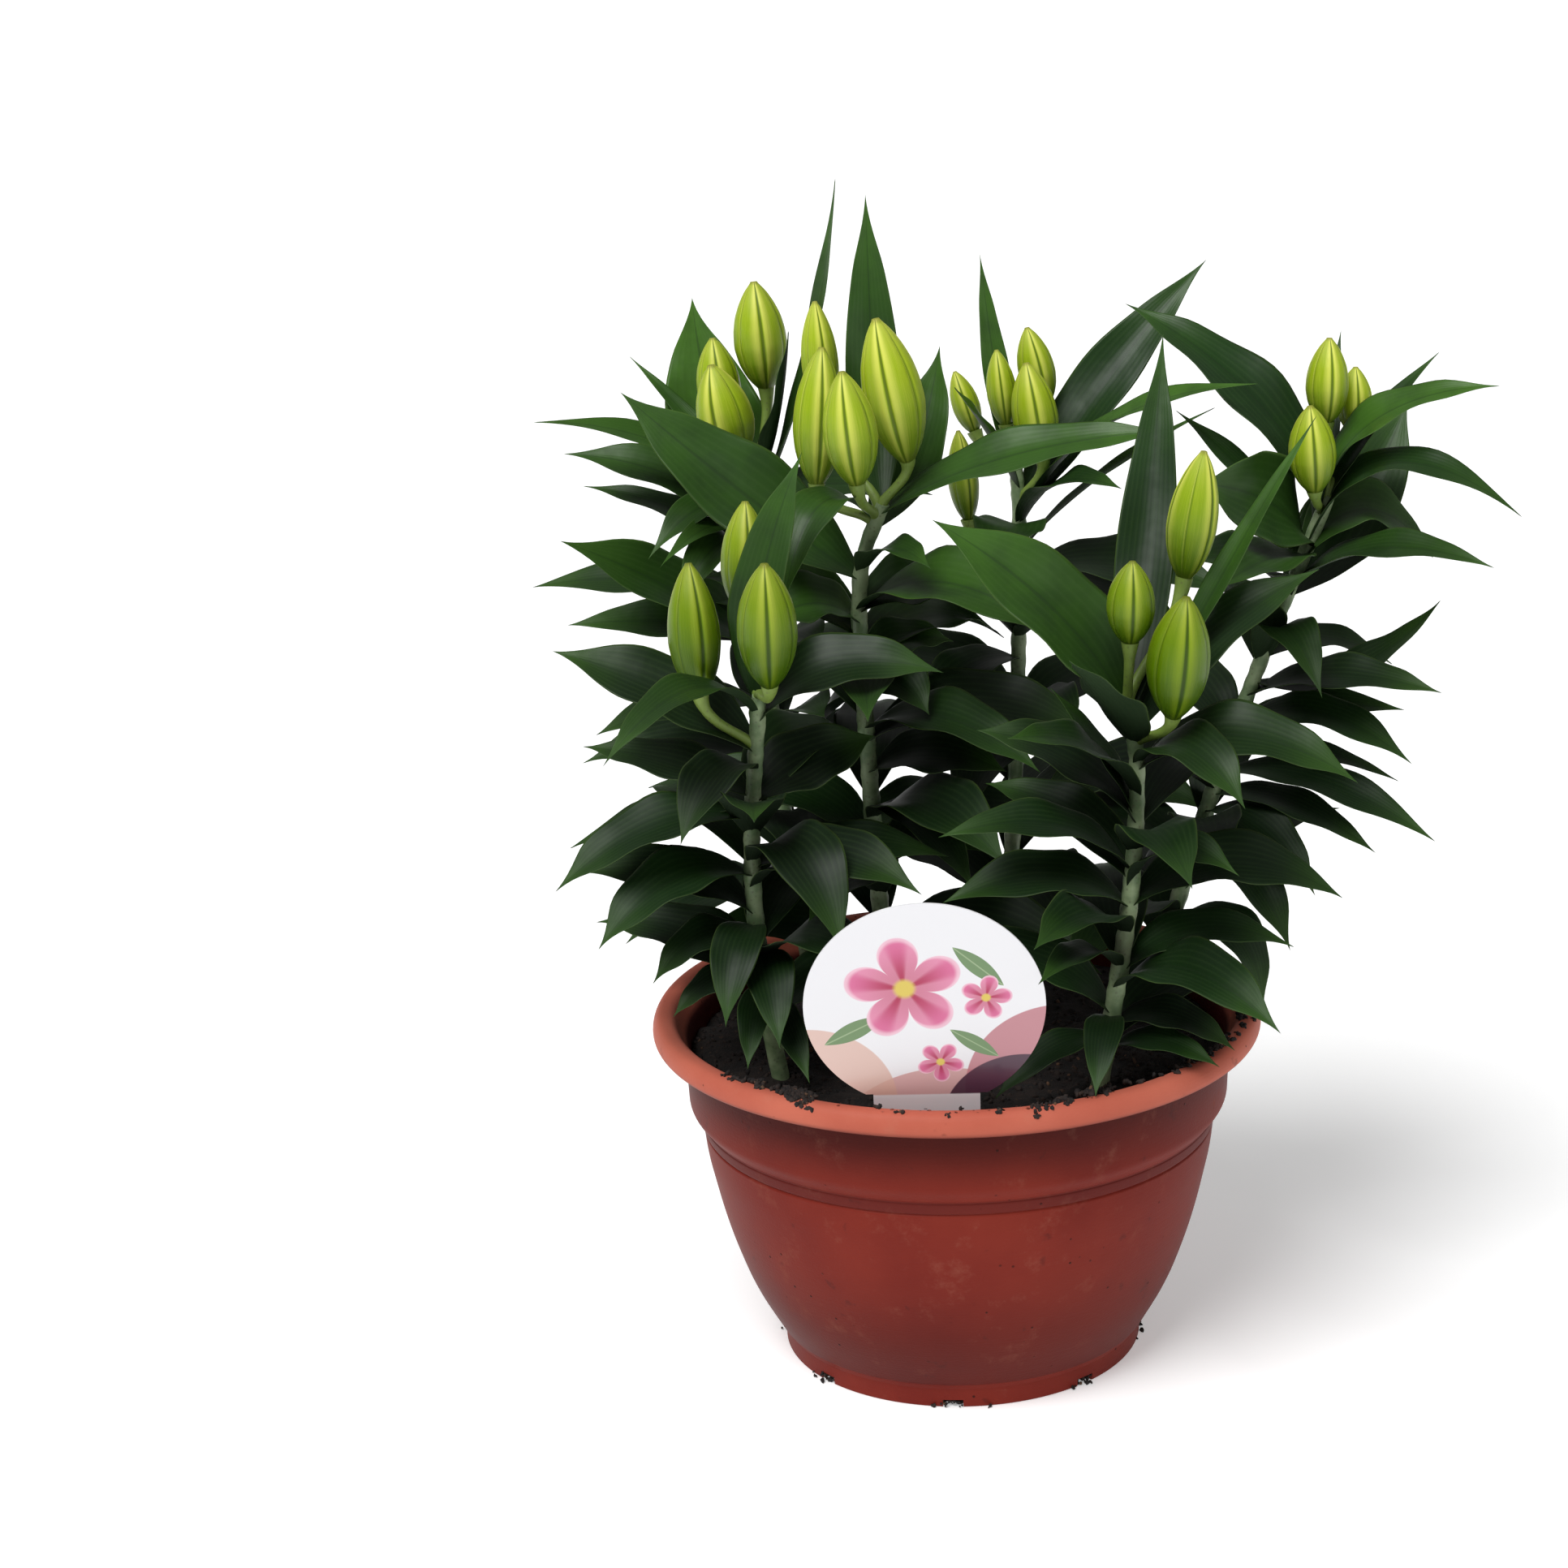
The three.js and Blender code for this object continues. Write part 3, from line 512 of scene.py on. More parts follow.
def leaf_tree():
    """Sweeps a flat lens-shaped section along each midline and folds it up at its edges"""
    made = Grower("leaf_blades", Fold=LEAF_FOLD, Wave=0.1, Section=16, Finish=None)
    spot = made.node("GeometryNodeInputPosition")
    ring = made.store(made.ring("Section"), "section", spot)
    lines = made.line(made.store(made.given("Geometry"), "centre", spot))
    blades = made.node("GeometryNodeCurveToMesh", {"Curve": lines, "Profile Curve": ring})
    across, layer, _ = made.parts(made.named("section", "FLOAT_VECTOR"))
    half, thick, along = made.named("half"), made.named("thick"), made.named("along")
    fold = made.given("Fold")
    wave = (along * 17 + made.named("phase")).sine() * made.given("Wave") * across * abs(across)
    height = (abs(across) ** 1.25 * fold.sine() + wave * along.between(0.1, 0.4)) * half + layer * thick
    sideways = across * half * fold.cosine()
    place = made.added(made.named("centre", "FLOAT_VECTOR"),
                       made.scaled(made.named("side", "FLOAT_VECTOR"), sideways))
    place = made.added(place, made.scaled(made.named("face", "FLOAT_VECTOR"), height))
    blades = made.node("GeometryNodeSetPosition", {"Geometry": blades, "Position": place})
    blades = made.node("GeometryNodeMergeByDistance", {"Geometry": blades, "Distance": 1e-5})
    made.close(blades)
    return made


def stem_tree():
    """Sweeps a round section along each centre line, with a slightly uneven skin"""
    made = Grower("stems", Sides=16, Unevenness=0.0004, Finish=None)
    tubes = made.node("GeometryNodeCurveToMesh", {
        "Curve": made.line(made.given("Geometry")), "Profile Curve": made.ring("Sides"),
        "Scale": made.named("half"), "Fill Caps": True})
    rough = made.node("ShaderNodeTexNoise", {"Scale": 160, "Detail": 2}) - 0.5
    offset = made.scaled(made.node("GeometryNodeInputNormal"), rough * made.given("Unevenness"))
    tubes = made.node("GeometryNodeSetPosition", {"Geometry": tubes, "Offset": offset})
    made.close(tubes)
    return made


def crumb_tree():
    """Scatters uneven crumbs over a surface"""
    made = Grower("crumbs", Density=9000.0, Seed=1, Smallest=0.4, Largest=1.0, Size=0.0018, Finish=None)
    seed = made.given("Seed")
    points = made.node("GeometryNodeDistributePointsOnFaces", {
        "Mesh": made.given("Geometry"), "Density": made.given("Density"), "Seed": seed})
    lump = made.node("GeometryNodeMeshIcoSphere", {"Radius": 1, "Subdivisions": 1})
    knobs = made.node("ShaderNodeTexNoise", {"Scale": 1.3, "Detail": 1})
    place = made.node("GeometryNodeInputPosition")
    lump = made.node("GeometryNodeSetPosition", {
        "Geometry": lump, "Position": made.scaled(place, knobs * 1.1 + 0.45)})
    spread = {"data_type": "FLOAT_VECTOR"}
    turn = made.node("FunctionNodeRandomValue", {0: (0, 0, 0), 1: (TAU, TAU, TAU), "Seed": seed}, spread)
    stretch = made.node("FunctionNodeRandomValue", {
        0: (0.5, 0.45, 0.4), 1: (1.7, 1.0, 0.9), "Seed": seed + 3}, spread)

    def share(low, high, salt):
        inputs = {2: low, 3: high, "Seed": seed + salt}
        return made.node("FunctionNodeRandomValue", inputs, output=1)

    size = share(made.given("Smallest"), made.given("Largest"), 5)
    scale = made.scaled(stretch, size * made.given("Size"))
    placed = made.node("GeometryNodeInstanceOnPoints", {
        "Points": points, "Instance": lump, "Rotation": turn, "Scale": scale})
    made.close(made.store(placed, "tone", share(0, 1, 7), "FLOAT", "INSTANCE"))
    return made


# Finishes

def leaf_finish():
    """Glossy deep green with painted shade that darkens it low on the plant, faint veins and a thin pale
    edge
    """
    made = Finish("leaf_green", specular_ior_level=0.24)
    across, layer, _ = made.parts(made.read("section", "Vector"))
    along, tone = made.read("along"), made.read("tone")
    _, _, height = made.parts(made.place)
    wide = abs(across)
    topside = layer.between(-0.12, 0.02)
    shaded = 1 - height.between(0.25, 0.43)
    mottle = made.speckle(55)
    lines = (across * 34 + made.speckle(30) * 2.4).sine() * 0.5 + 0.5
    # Painted shade: the green is mixed by height from low to high, darker low on the plant
    low = made.mix(tone, (5, 16, 5), (18, 44, 10))
    high = made.mix(tone, (28, 56, 20), (70, 112, 34))
    upper = made.coats(
        made.mix(height.between(0.26, 0.45), low, high),
        (along.between(0.6, 1) * 0.4, (72, 112, 40)),
        (mottle.between(0.35, 0.75) * 0.4, (18, 36, 18)),
        (lines ** 3 * 0.045, (96, 126, 72)),
        ((1 - wide.between(0.015, 0.07)) * 0.4, (18, 36, 16)))
    lower = made.mix(shaded, made.mix(lines * 0.35, (44, 68, 36), (58, 82, 44)), (18, 34, 14))
    skin = made.mix(topside, lower, upper)
    skin = made.mix(wide.between(0.94, 1) * 0.4, skin, (104, 132, 66))
    made.feed(base_color=skin, roughness=0.28 + mottle * 0.2 + shaded * 0.12 + (1 - topside) * 0.25)
    made.bump(lines * 0.04 + made.speckle(60, 2) * 0.96, 0.001, 0.45)
    return made.material


def stem_finish():
    made = Finish("stem_green", roughness=0.5)
    young = made.read("young")
    blotch = made.speckle(75, 4)
    dots = 1 - made.cells(420).between(0.12, 0.3)
    old = made.mix(blotch.between(0.35, 0.7), (104, 129, 88), (158, 176, 134))
    old = made.mix(made.speckle(38).between(0.52, 0.75) * 0.4, old, (98, 74, 78))
    fresh = made.mix(blotch, (98, 124, 44), (134, 156, 74))
    skin = made.mix(dots * 0.35, made.mix(young, old, fresh), (84, 66, 62))
    made.feed(base_color=skin)
    made.bump(blotch * 0.5 + made.speckle(500) * 0.5, 0.0006, 0.5)
    return made.material


def bud_finish():
    """Yellow-green, pale beside each petal's grooved midrib and greener at the foot and the seams"""
    made = Finish("bud_green", roughness=0.36, specular_ior_level=0.25)
    along, petal, tone = made.read("along"), abs(made.read("petal")), made.read("tone")
    _, _, height = made.parts(made.place)
    grain = made.speckle(1, 4, 0.6, made.joined(made.read("petal") * 26, along * 3, tone * 40))
    ridge = petal.between(0.05, 0.13) * (1 - petal.between(0.16, 0.5))
    skin = made.coats(
        made.mix(along.between(0, 0.7), (84, 118, 8), (158, 182, 20)),
        (along.between(0.65, 1) * 0.5, (206, 210, 92)),
        (tone * 0.4, (112, 148, 16)),
        (grain.between(0.35, 0.75) * 0.25, (204, 208, 80)),
        (ridge * (0.24 + along * 0.46), (236, 236, 112)),
        ((1 - petal.between(0.03, 0.08)) * 0.85, (84, 106, 18)),
        (petal.between(0.9, 0.99) * 0.6, (78, 108, 16)),
        ((1 - along.between(0, 0.12)) * 0.6, (84, 92, 30)),
        (along.between(0.96, 1) * 0.55, (120, 112, 50)))
    # Painted shade: buds low on the plant are darkened
    skin = made.mix((1 - height.between(0.33, 0.43)) * 0.95, skin, (132, 158, 44), "MULTIPLY")
    made.feed(base_color=skin)
    made.bump(grain, 0.0005, 0.4)
    return made.material


def pot_finish():
    made = Finish("terracotta_plastic", specular_ior_level=0.08)
    across, depth, height = made.parts(made.place)
    cloud = made.speckle(14, 5)
    fine = made.speckle(900, 2)
    shift = cloud.between(0.3, 0.7)
    # Painted shade: the body darkens towards the rim, under its lip
    painted_rim_shade = height.between(0.112, 0.146)
    # Painted light: the rim is painted lighter, as if lit from above
    painted_rim_light = height.between(0.1468, 0.151)
    groove_band = height.between(0.1052, 0.1062) * (1 - height.between(0.1112, 0.1122))
    # Painted shade: the bowl darkens low down, just above the foot
    painted_foot_shade = (1 - height.between(0.02, 0.085)) * height.between(0.0105, 0.0125)
    dust = made.speckle(60, 6, 0.7).between(0.55, 0.8)
    stain = made.speckle(95, 3).between(0.66, 0.74)
    dirt = (1 - made.cells(130).between(0.05, 0.11)) * made.speckle(24).between(0.48, 0.62)
    skin = made.coats(
        made.mix(shift, (110, 34, 26), (124, 43, 32)),
        (painted_rim_shade * 0.7, (46, 14, 14)),
        (painted_rim_light, made.mix(shift, (176, 90, 72), (190, 104, 84))),
        (groove_band * 0.5, (74, 28, 28)),
        (painted_foot_shade * 0.55, (60, 20, 18)),
        (dust * 0.16, (176, 126, 106)),
        (stain * 0.35, (58, 26, 24)),
        (dirt * 0.85, (40, 24, 20)))
    made.feed(base_color=skin, roughness=0.4 + cloud * 0.2 + dust * 0.2 + dirt * 0.2)
    scuff = made.speckle(1, 2, 0.5, made.joined(across * 30, depth * 30, height * 1500))
    made.bump(fine * 0.6 + scuff * 0.4 + dirt, 0.0003, 0.5)
    return made.material


def soil_finish():
    made = Finish("potting_soil", roughness=0.95)
    clods = made.speckle(120, 6, 0.7)
    skin = made.mix(clods.between(0.35, 0.7), (14, 9, 8), (38, 27, 22))
    skin = made.mix(made.speckle(420).between(0.62, 0.72) * 0.4, skin, (84, 60, 44))
    made.feed(base_color=skin)
    made.bump(clods, 0.003, 0.9)
    return made.material


def crumb_finish():
    made = Finish("soil_crumbs", roughness=0.85)
    tone = made.read("tone")
    grain = made.speckle(700, 3)
    skin = made.mix(tone.between(0, 0.8), (16, 10, 9), (42, 29, 23))
    skin = made.coats(skin, (tone.between(0.93, 0.97) * 0.7, (112, 80, 56)), (grain * 0.4, (18, 12, 11)))
    made.feed(base_color=skin)
    made.bump(grain, 0.0005)
    return made.material


def bulb_finish():
    made = Finish("bulb_scales", roughness=0.45)
    across, depth, height = made.parts(made.place)
    streaks = made.speckle(1, 4, 0.6, made.joined(across * 260, depth * 260, height * 40))
    skin = made.mix(streaks, (214, 200, 158), (236, 226, 190))
    skin = made.mix(made.speckle(60).between(0.58, 0.72) * 0.6, skin, (150, 110, 92))
    made.feed(base_color=skin)
    made.bump(streaks, 0.0008, 0.6)
    return made.material


def drop_finish():
    return Finish("water_drop", roughness=0.05, transmission_weight=1, ior=1.33).material


def label_finish():
    """A pale card with overlapping rounds low down, small leaflets and plain five-petalled blossoms"""
    made = Finish("printed_card", roughness=0.32, coat_weight=0.3, coat_roughness=0.1)
    u, v, side = made.parts(made.read("card", "Vector"))
    skin = plain = made.mix(made.speckle(6), (226, 226, 230), (236, 236, 238))
    for x, y, radius, strength, tint in CARD_ROUNDS:
        away = made.length(made.joined(u - x, v - y, 0))
        skin = made.mix((1 - away.between(radius - 0.25, radius + 0.25)) * strength, skin, tint)
    above_neck = v.between(-43.4, -42.6)
    skin = made.mix(above_neck, plain, skin)

    def blossom(skin, x, y, radius, turn):
        away = made.length(made.joined(u - x, v - y, 0))
        wave = ((v - y).compass(u - x) * 2.5 + turn).sine()
        edge = (abs(wave) ** 0.55 * 0.62 + 0.38) * radius
        inside = 1 - (away / edge).between(0.965, 1)
        streak = 1 - abs(wave).between(0.75, 1)
        eye = 1 - (away / radius).between(0.12, 0.22)
        petal = made.coats(
            made.mix((away / radius).between(0.15, 1), (168, 28, 74), (212, 104, 150)),
            (streak * 0.4, (236, 176, 200)),
            ((away / edge).between(0.86, 0.96) * 0.6, (240, 218, 226)))
        return made.coats(skin, (inside, petal), (eye, (214, 190, 84)))

    def leaflet(skin, x, y, length, width, angle):
        c, s = polar(1, angle)
        run = ((u - x) * c + (v - y) * s) / length
        off = ((v - y) * c - (u - x) * s) / width
        lens = abs(off) / (1 - run * run).at_least(0.001)
        inside = (1 - lens.between(0.95, 1)) * (1 - abs(run).between(0.97, 1))
        rib = 1 - abs(off).between(0.03, 0.1)
        return made.coats(skin, (inside, (106, 136, 92)), (inside * rib, (150, 172, 132)))

    for row in CARD_LEAFLETS:
        skin = leaflet(skin, *row)
    for row in CARD_BLOSSOMS:
        skin = blossom(skin, *row)
    front = side.between(-0.1, 0.1)
    made.feed(base_color=made.mix(front, (232, 232, 232), skin))
    return made.material


# Stems, stalks and leaves

def stem_line(points):
    """The smooth line through the places, as a function of 0 to 1"""
    spots = [Vector(p) for p in points]
    spots = [spots[0] * 2 - spots[1], *spots, spots[-1] * 2 - spots[-2]]
    count = len(points) - 1

    def at(t):
        piece = min(int(t * count), count - 1)
        w = t * count - piece
        p0, p1, p2, p3 = spots[piece:piece + 4]
        d0, d1, d2 = ((a - b).length ** 0.5 for a, b in ((p0, p1), (p1, p2), (p2, p3)))
        leave = ((p1 - p0) / d0 - (p2 - p0) / (d0 + d1) + (p2 - p1) / d1) * d1
        arrive = ((p2 - p1) / d1 - (p3 - p1) / (d1 + d2) + (p3 - p2) / d2) * d1
        bend = 3 * (p2 - p1) - 2 * leave - arrive
        twist = 2 * (p1 - p2) + leave + arrive
        return p1 + leave * w + bend * w * w + twist * w ** 3

    return at


def stem_place(line, height, halvings=24):
    """The place at a height on a stem's line, found by halving"""
    low, high = 0, 1
    for _ in range(halvings):
        middle = (low + high) / 2
        if line(middle).z < height:
            low = middle
        else:
            high = middle
    return line(low)


def bezier(p0, p1, p2, p3, t):
    s = 1 - t
    return p0 * s ** 3 + p1 * 3 * s * s * t + p2 * 3 * s * t * t + p3 * t ** 3


def bezier_slope(p0, p1, p2, p3, t):
    s = 1 - t
    return ((p1 - p0) * 3 * s * s + (p2 - p1) * 6 * s * t + (p3 - p2) * 3 * t * t).normalized()


def leaf_points(foot, row, nudge):
    """The four points that steer a leaf's midline, its sideways direction and its compass direction"""
    _, direction, reach, rise, _, arch, _ = row
    compass = math.radians(direction + nudge[0])
    outward = Vector((*polar(1, compass), 0))
    side = Vector((-outward.y, outward.x, 0))
    chord = outward * reach + Vector((0, 0, rise + nudge[1]))
    lift = chord.cross(side).normalized()
    knee = foot + chord * KNEE_ALONG + lift * arch * KNEE_LIFT
    fall = foot + chord * FALL_ALONG + lift * arch * FALL_LIFT
    return (foot, knee, fall, foot + chord), side, compass


def leaf_width(t):
    """The blade's width along the leaf, as a share of its greatest width"""
    fullness = math.sin(math.pi * t ** 0.8) ** 1.2 * (1 - LEAF_FALLING * t)
    tapered = max(0.0, (t - TIP_TAPER) / (1 - TIP_TAPER)) ** 1.6
    return (LEAF_NECK + (1 - LEAF_NECK) * fullness) * (1 - tapered)


def spiral_rows(name):
    low, count, start, reach, width = SPIRAL_LEAVES[name]
    rows = []
    for order in range(count):
        stray = math.sin(order * STRAY_PACE + start)
        sizes = zip((reach, SPIRAL_RISE, width, SPIRAL_ARCH, 0), STRAY)
        rows.append((low + order * SPIRAL_SPACING, start + order * SPIRAL_TURN,
                     *(size + most * stray for size, most in sizes)))
    return rows


def corners_of(node):
    """A search tree of a CAD node's corners, in millimetres"""
    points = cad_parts[node].data.vertices
    tree = kdtree.KDTree(len(points))
    for index, point in enumerate(points):
        tree.insert(point.co / MM, index)
    tree.balance()
    return tree


def leaf_midlines(name, line, dice):
    """Midlines of all of a stem's leaves: each is where the solid stem has that leaf's tip"""
    corners = corners_of(f"leafy_stem_{name}")
    points, rows, feet = [], [], []
    labels = ("side", "face", "half", "thick", "along", "tone", "phase")
    stations = [0, 0.004, *np.linspace(0.03, 0.94, 25), 0.965, 0.985, 1]
    for row in [*SHOWN_LEAVES[name], *spiral_rows(name)]:
        foot = stem_place(line, row[0])
        for nudge in NUDGES:
            steer, side, compass = leaf_points(foot, row, nudge)
            if corners.find(steer[3])[2] < TIP_NEAR:
                break
        else:
            continue
        feet.append(row[0])
        roll = math.radians(row[6] + FRONT_TURN * math.cos(compass))
        tone = min(1, max(0, dice.gauss(0.42, 0.26) + max(0, (250 - row[0]) / 300)))
        phase = dice.uniform(0, TAU)
        for order, t in enumerate(stations):
            tangent = bezier_slope(*steer, t)
            across = Matrix.Rotation(roll * math.sqrt(t), 3, tangent) @ side
            end = order in (0, len(stations) - 1)
            points.append(bezier(*steer, t))
            half = 0 if end else row[4] / 2 * leaf_width(t) * MM
            thick = 0 if end else (LEAF_THICKNESS - LEAF_THINNING * t) * MM
            rows.append((across, tangent.cross(across).normalized(), half, thick, t, tone, phase))
    edges = [(k - 1, k) for k in range(len(points)) if k % len(stations)]
    values = dict(zip(labels, zip(*rows)))
    return make_mesh(f"leaf_midlines_{name}", points, edges=edges, values=values), feet


def stem_lines(name, line, feet):
    """The centre line of the stem, swollen where leaves leave it, and those of its flower stalks"""
    points, edges = [], []
    values = {"half": [], "young": []}

    def add_line(spots, halves, young):
        for order, (spot, half) in enumerate(zip(spots, halves)):
            if order:
                edges.append((len(points) - 1, len(points)))
            points.append(spot)
            values["half"].append(half * MM)
            values["young"].append(young)

    steps = np.linspace(0, 1, 150)
    spots = [line(t) for t in steps]
    halves = []
    for t, spot in zip(steps, spots):
        half = STEM_RADIUS + (STEM_TOP_RADIUS - STEM_RADIUS) * t
        swell = sum(math.exp(-((spot.z - height + 1) / SWELL_LENGTH) ** 2) for height in feet)
        halves.append(half * (0.95 + 0.1 * min(swell, 1)))
    add_line(spots, halves, 0)
    for tip, foot, _, start_height, _ in BUDS[name]:
        start = stem_place(line, start_height)
        axis = (Vector(tip) - Vector(foot)).normalized()
        end = Vector(foot) + axis * STALK_ENTRY
        span = (start - end).length
        spring = start + Vector((0, 0, span * STALK_SPRING))
        steer = (start, spring, end - axis * span * STALK_MEET, end)
        steps = np.linspace(0, 1, 30)
        waist = [1.12 - 0.25 * math.sin(math.pi * t) + 0.5 * max(0, t - 0.82) / 0.18 for t in steps]
        add_line([bezier(*steer, t) for t in steps], [STALK_RADIUS * share for share in waist], 1)
    return make_mesh(f"stem_lines_{name}", points, edges=edges, values=values)


def mark(distance, height, width):
    """How far a groove, a ridge or a seam stands out at a distance from its middle"""
    return height * math.exp(-(distance / width) ** 2)


def bud_piece(name, tip, foot, width, turn, tone, finish):
    """Three broad outer petals closed edge to edge, each with a groove along its middle"""
    foot, tip = Vector(foot), Vector(tip)
    axis = (tip - foot).normalized()
    length = (tip - foot).length
    across = (Vector((1, 0, 0)) - axis * axis.x).normalized()
    other = axis.cross(across)
    sides, rings = 72, 44
    places = 1 - (1 - np.linspace(0, 0.995, rings)) ** 1.15
    fullness = np.interp(places, *zip(*BUD_SWELL))
    fullness = np.convolve(np.pad(fullness, 2, mode="edge"), [0.1, 0.2, 0.4, 0.2, 0.1], mode="valid")
    points, along, petals = [], [], []
    for place, full in zip(places, fullness):
        for side in range(sides):
            angle = side / sides * TAU
            lobe = (side / sides * 3 + 0.5) % 1 * 2 - 1
            bulge = PETAL_BULGE * math.cos(3 * angle)
            off = abs(lobe)
            relief = mark(off, *GROOVE) + mark(off - RIDGE_PLACE, *RIDGE) + mark(1 - off, *SEAM)
            relief *= min(1, (1 - place) * 5 + 0.25) * min(1, place * 6 + 0.2)
            radius = width / 2 * BUD_FIT * full * (1 + bulge + relief)
            c, s = polar(radius, angle + math.radians(turn))
            points.append(foot + axis * place * length + across * c + other * s)
            along.append(place)
            petals.append(lobe)
    points += [foot, tip]
    along += [0, 1]
    petals += [0.5, 0.5]
    values = {"along": along, "petal": petals, "tone": [tone] * len(points)}
    return dressed(make_mesh(name, points, closed_skin(rings, sides), values=values), finish)


# Pot

def rounded(corners, steps=6):
    """A line whose corners are rounded: each corner is radius from the axis, height and rounding"""
    line = []
    for order, (r, z, rounding) in enumerate(corners):
        here = Vector((r, z))
        if rounding == 0 or order in (0, len(corners) - 1):
            line.append(here)
            continue
        before = Vector(corners[order - 1][:2]) - here
        after = Vector(corners[order + 1][:2]) - here
        cut = min(rounding, before.length * 0.49, after.length * 0.49)
        start, end = here + before.normalized() * cut, here + after.normalized() * cut
        for step in range(steps + 1):
            t = step / steps
            line.append(start * (1 - t) ** 2 + here * 2 * t * (1 - t) + end * t * t)
    return line


def lathe(name, line, sides):
    """Turns a line of radius and height round the Z axis; the line starts and ends on the axis"""
    points = [(spot.x * c, spot.x * s, spot.y) for spot in line[1:-1] for c, s in circle(sides)]
    points += [(0, 0, line[0].y), (0, 0, line[-1].y)]
    return make_mesh(name, points, closed_skin(len(line) - 2, sides))


def drain_cutter(turn, sides=24):
    x, y = polar(DRAIN_CIRCLE, turn)
    ends = (-FOOT_HEIGHT, FOOT_HEIGHT)
    points = [(x + c * DRAIN_RADIUS, y + s * DRAIN_RADIUS, z) for z in ends for c, s in circle(sides)]
    return [*points, *((x, y, z) for z in ends)], closed_skin(2, sides)


def add_patch(points, turn, r, z, deep, wide):
    """A level face at an angle, radius and height, with its half sizes outwards and sideways"""
    c, s = polar(1, turn)
    points += [((r + a * deep) * c - b * wide * s, (r + a * deep) * s + b * wide * c, z) for a, b in SQUARE]
    return tuple(range(len(points) - 4, len(points)))


def notch_cutter(angle):
    points = []
    for z in (-NOTCH_HEIGHT, NOTCH_HEIGHT):
        add_patch(points, angle, FOOT_RADIUS - FOOT_RING / 2, z, FOOT_RING, NOTCH_WIDTH / 2)
    return points, [(3, 2, 1, 0), (4, 5, 6, 7), (0, 1, 5, 4), (1, 2, 6, 5), (2, 3, 7, 6), (3, 0, 4, 7)]


def pot_piece(finish):
    """The bowl, turned from its underside up the outside, over the rim and down the inside"""
    ring = FOOT_RADIUS - FOOT_RING
    corners = [
        (0, 0, 0), (PAD_RADIUS, 0, 0.6), (PAD_RADIUS + 2, UNDERSIDE, 0.6), (ring - 2, UNDERSIDE, 0.6),
        (ring, 0, 0.6), (FOOT_RADIUS, 0, 0.8), (FOOT_RADIUS + 0.5, FOOT_HEIGHT, 1),
        (FOOT_RADIUS + 3, FOOT_HEIGHT + 1.5, 1.5), (95.5, 33, 12), (105.6, 62, 14), (112.8, 94, 12),
        (114, 104.7, 0.6), (113.2, 105.5, 0.5), (114.4, 106.3, 0.6), (115.2, 110.7, 0.6),
        (114.4, 111.6, 0.5), (115.8, 112.5, 0.8), (120, 117.6, 2.5), (121.4, 146.9, 1.2), (130.6, 147, 3),
        (134.9, 149.3, 3.2), (134.9, 154.2, 3.2), (132.3, POT_HEIGHT, 3.4), (126, POT_HEIGHT, 3),
        (122.3, 152, 3), (119, 146, 3), (117.5, 120, 3), (110, 94, 10), (99, 50, 10),
        (FOOT_RADIUS - 1, UNDERSIDE + WALL, 2), (0, UNDERSIDE + WALL, 0),
    ]
    pot = add_object("pot_bowl", lathe("pot_bowl", rounded(corners), POT_SIDES))
    points, faces = [], []
    cutters = [drain_cutter((hole + 0.5) / DRAIN_HOLES * TAU) for hole in range(DRAIN_HOLES)]
    for more_points, more_faces in [*cutters, *map(notch_cutter, NOTCH_ANGLES)]:
        faces += [tuple(corner + len(points) for corner in face) for face in more_faces]
        points += more_points
    cutter = add_object("pot_cutters", make_mesh("pot_cutters", points, faces))
    cut = pot.modifiers.new("holes", "BOOLEAN")
    cut.object = cutter
    cut.solver = "EXACT"
    mesh = baked(pot)
    pot.modifiers.remove(cut)
    pot.data = mesh
    bpy.data.objects.remove(cutter)
    mesh.shade_smooth()
    mesh.set_sharp_from_angle(angle=math.radians(38))
    mesh.materials.append(finish)
    return pot


# Soil

def soil_height(x, y):
    """Low waves and lumps, falling a little towards the bowl"""
    edge = math.hypot(x, y) / SOIL_RADIUS
    rolling = SOIL_WAVE * math.sin(x * 0.11 + 1) * math.cos(y * 0.09) - SOIL_EDGE_FALL * edge ** 6
    lumps = noise.fractal(Vector((x, y, 0)) * 0.09, 0.8, 2.1, 4) * SOIL_LUMPS
    return SOIL_LEVEL + rolling + lumps


def soil_mesh(name, with_body=True):
    """The soil's uneven top, and below it the body that fills the bowl"""
    around = circle(SOIL_SIDES)
    radii = [3, *np.linspace(6, SOIL_RADIUS, 46)]
    line = [(FOOT_RADIUS - 2, SOIL_BOTTOM), (98.2, 50), (109.2, 94), (116.8, 120)] if with_body else []
    points = [(r * c, r * s, z) for r, z in line for c, s in around]
    points += [(r * c, r * s, soil_height(r * c, r * s)) for r in reversed(radii) for c, s in around]
    rings = len(line) + len(radii)
    if not with_body:
        return make_mesh(name, points, grid_faces(rings, SOIL_SIDES))
    points += [(0, 0, SOIL_BOTTOM), (0, 0, soil_height(0, 0))]
    return make_mesh(name, points, closed_skin(rings, SOIL_SIDES))


def rim_patches(dice):
    """Small faces on the rim where crumbs lie"""
    points, faces = [], []
    for angle, spread, count, radius in RIM_CRUMBS:
        for _ in range(count):
            turn = math.radians(angle + dice.gauss(0, spread))
            r = radius + dice.uniform(-3, 3)
            z = POT_HEIGHT + 0.2 - 0.015 * (r - RIM_CROWN) ** 2 - max(0, r - RIM_EDGE) * RIM_FALL
            faces.append(add_patch(points, turn, r, z, 1.6, 1.6))
    return make_mesh("rim_patches", points, faces)


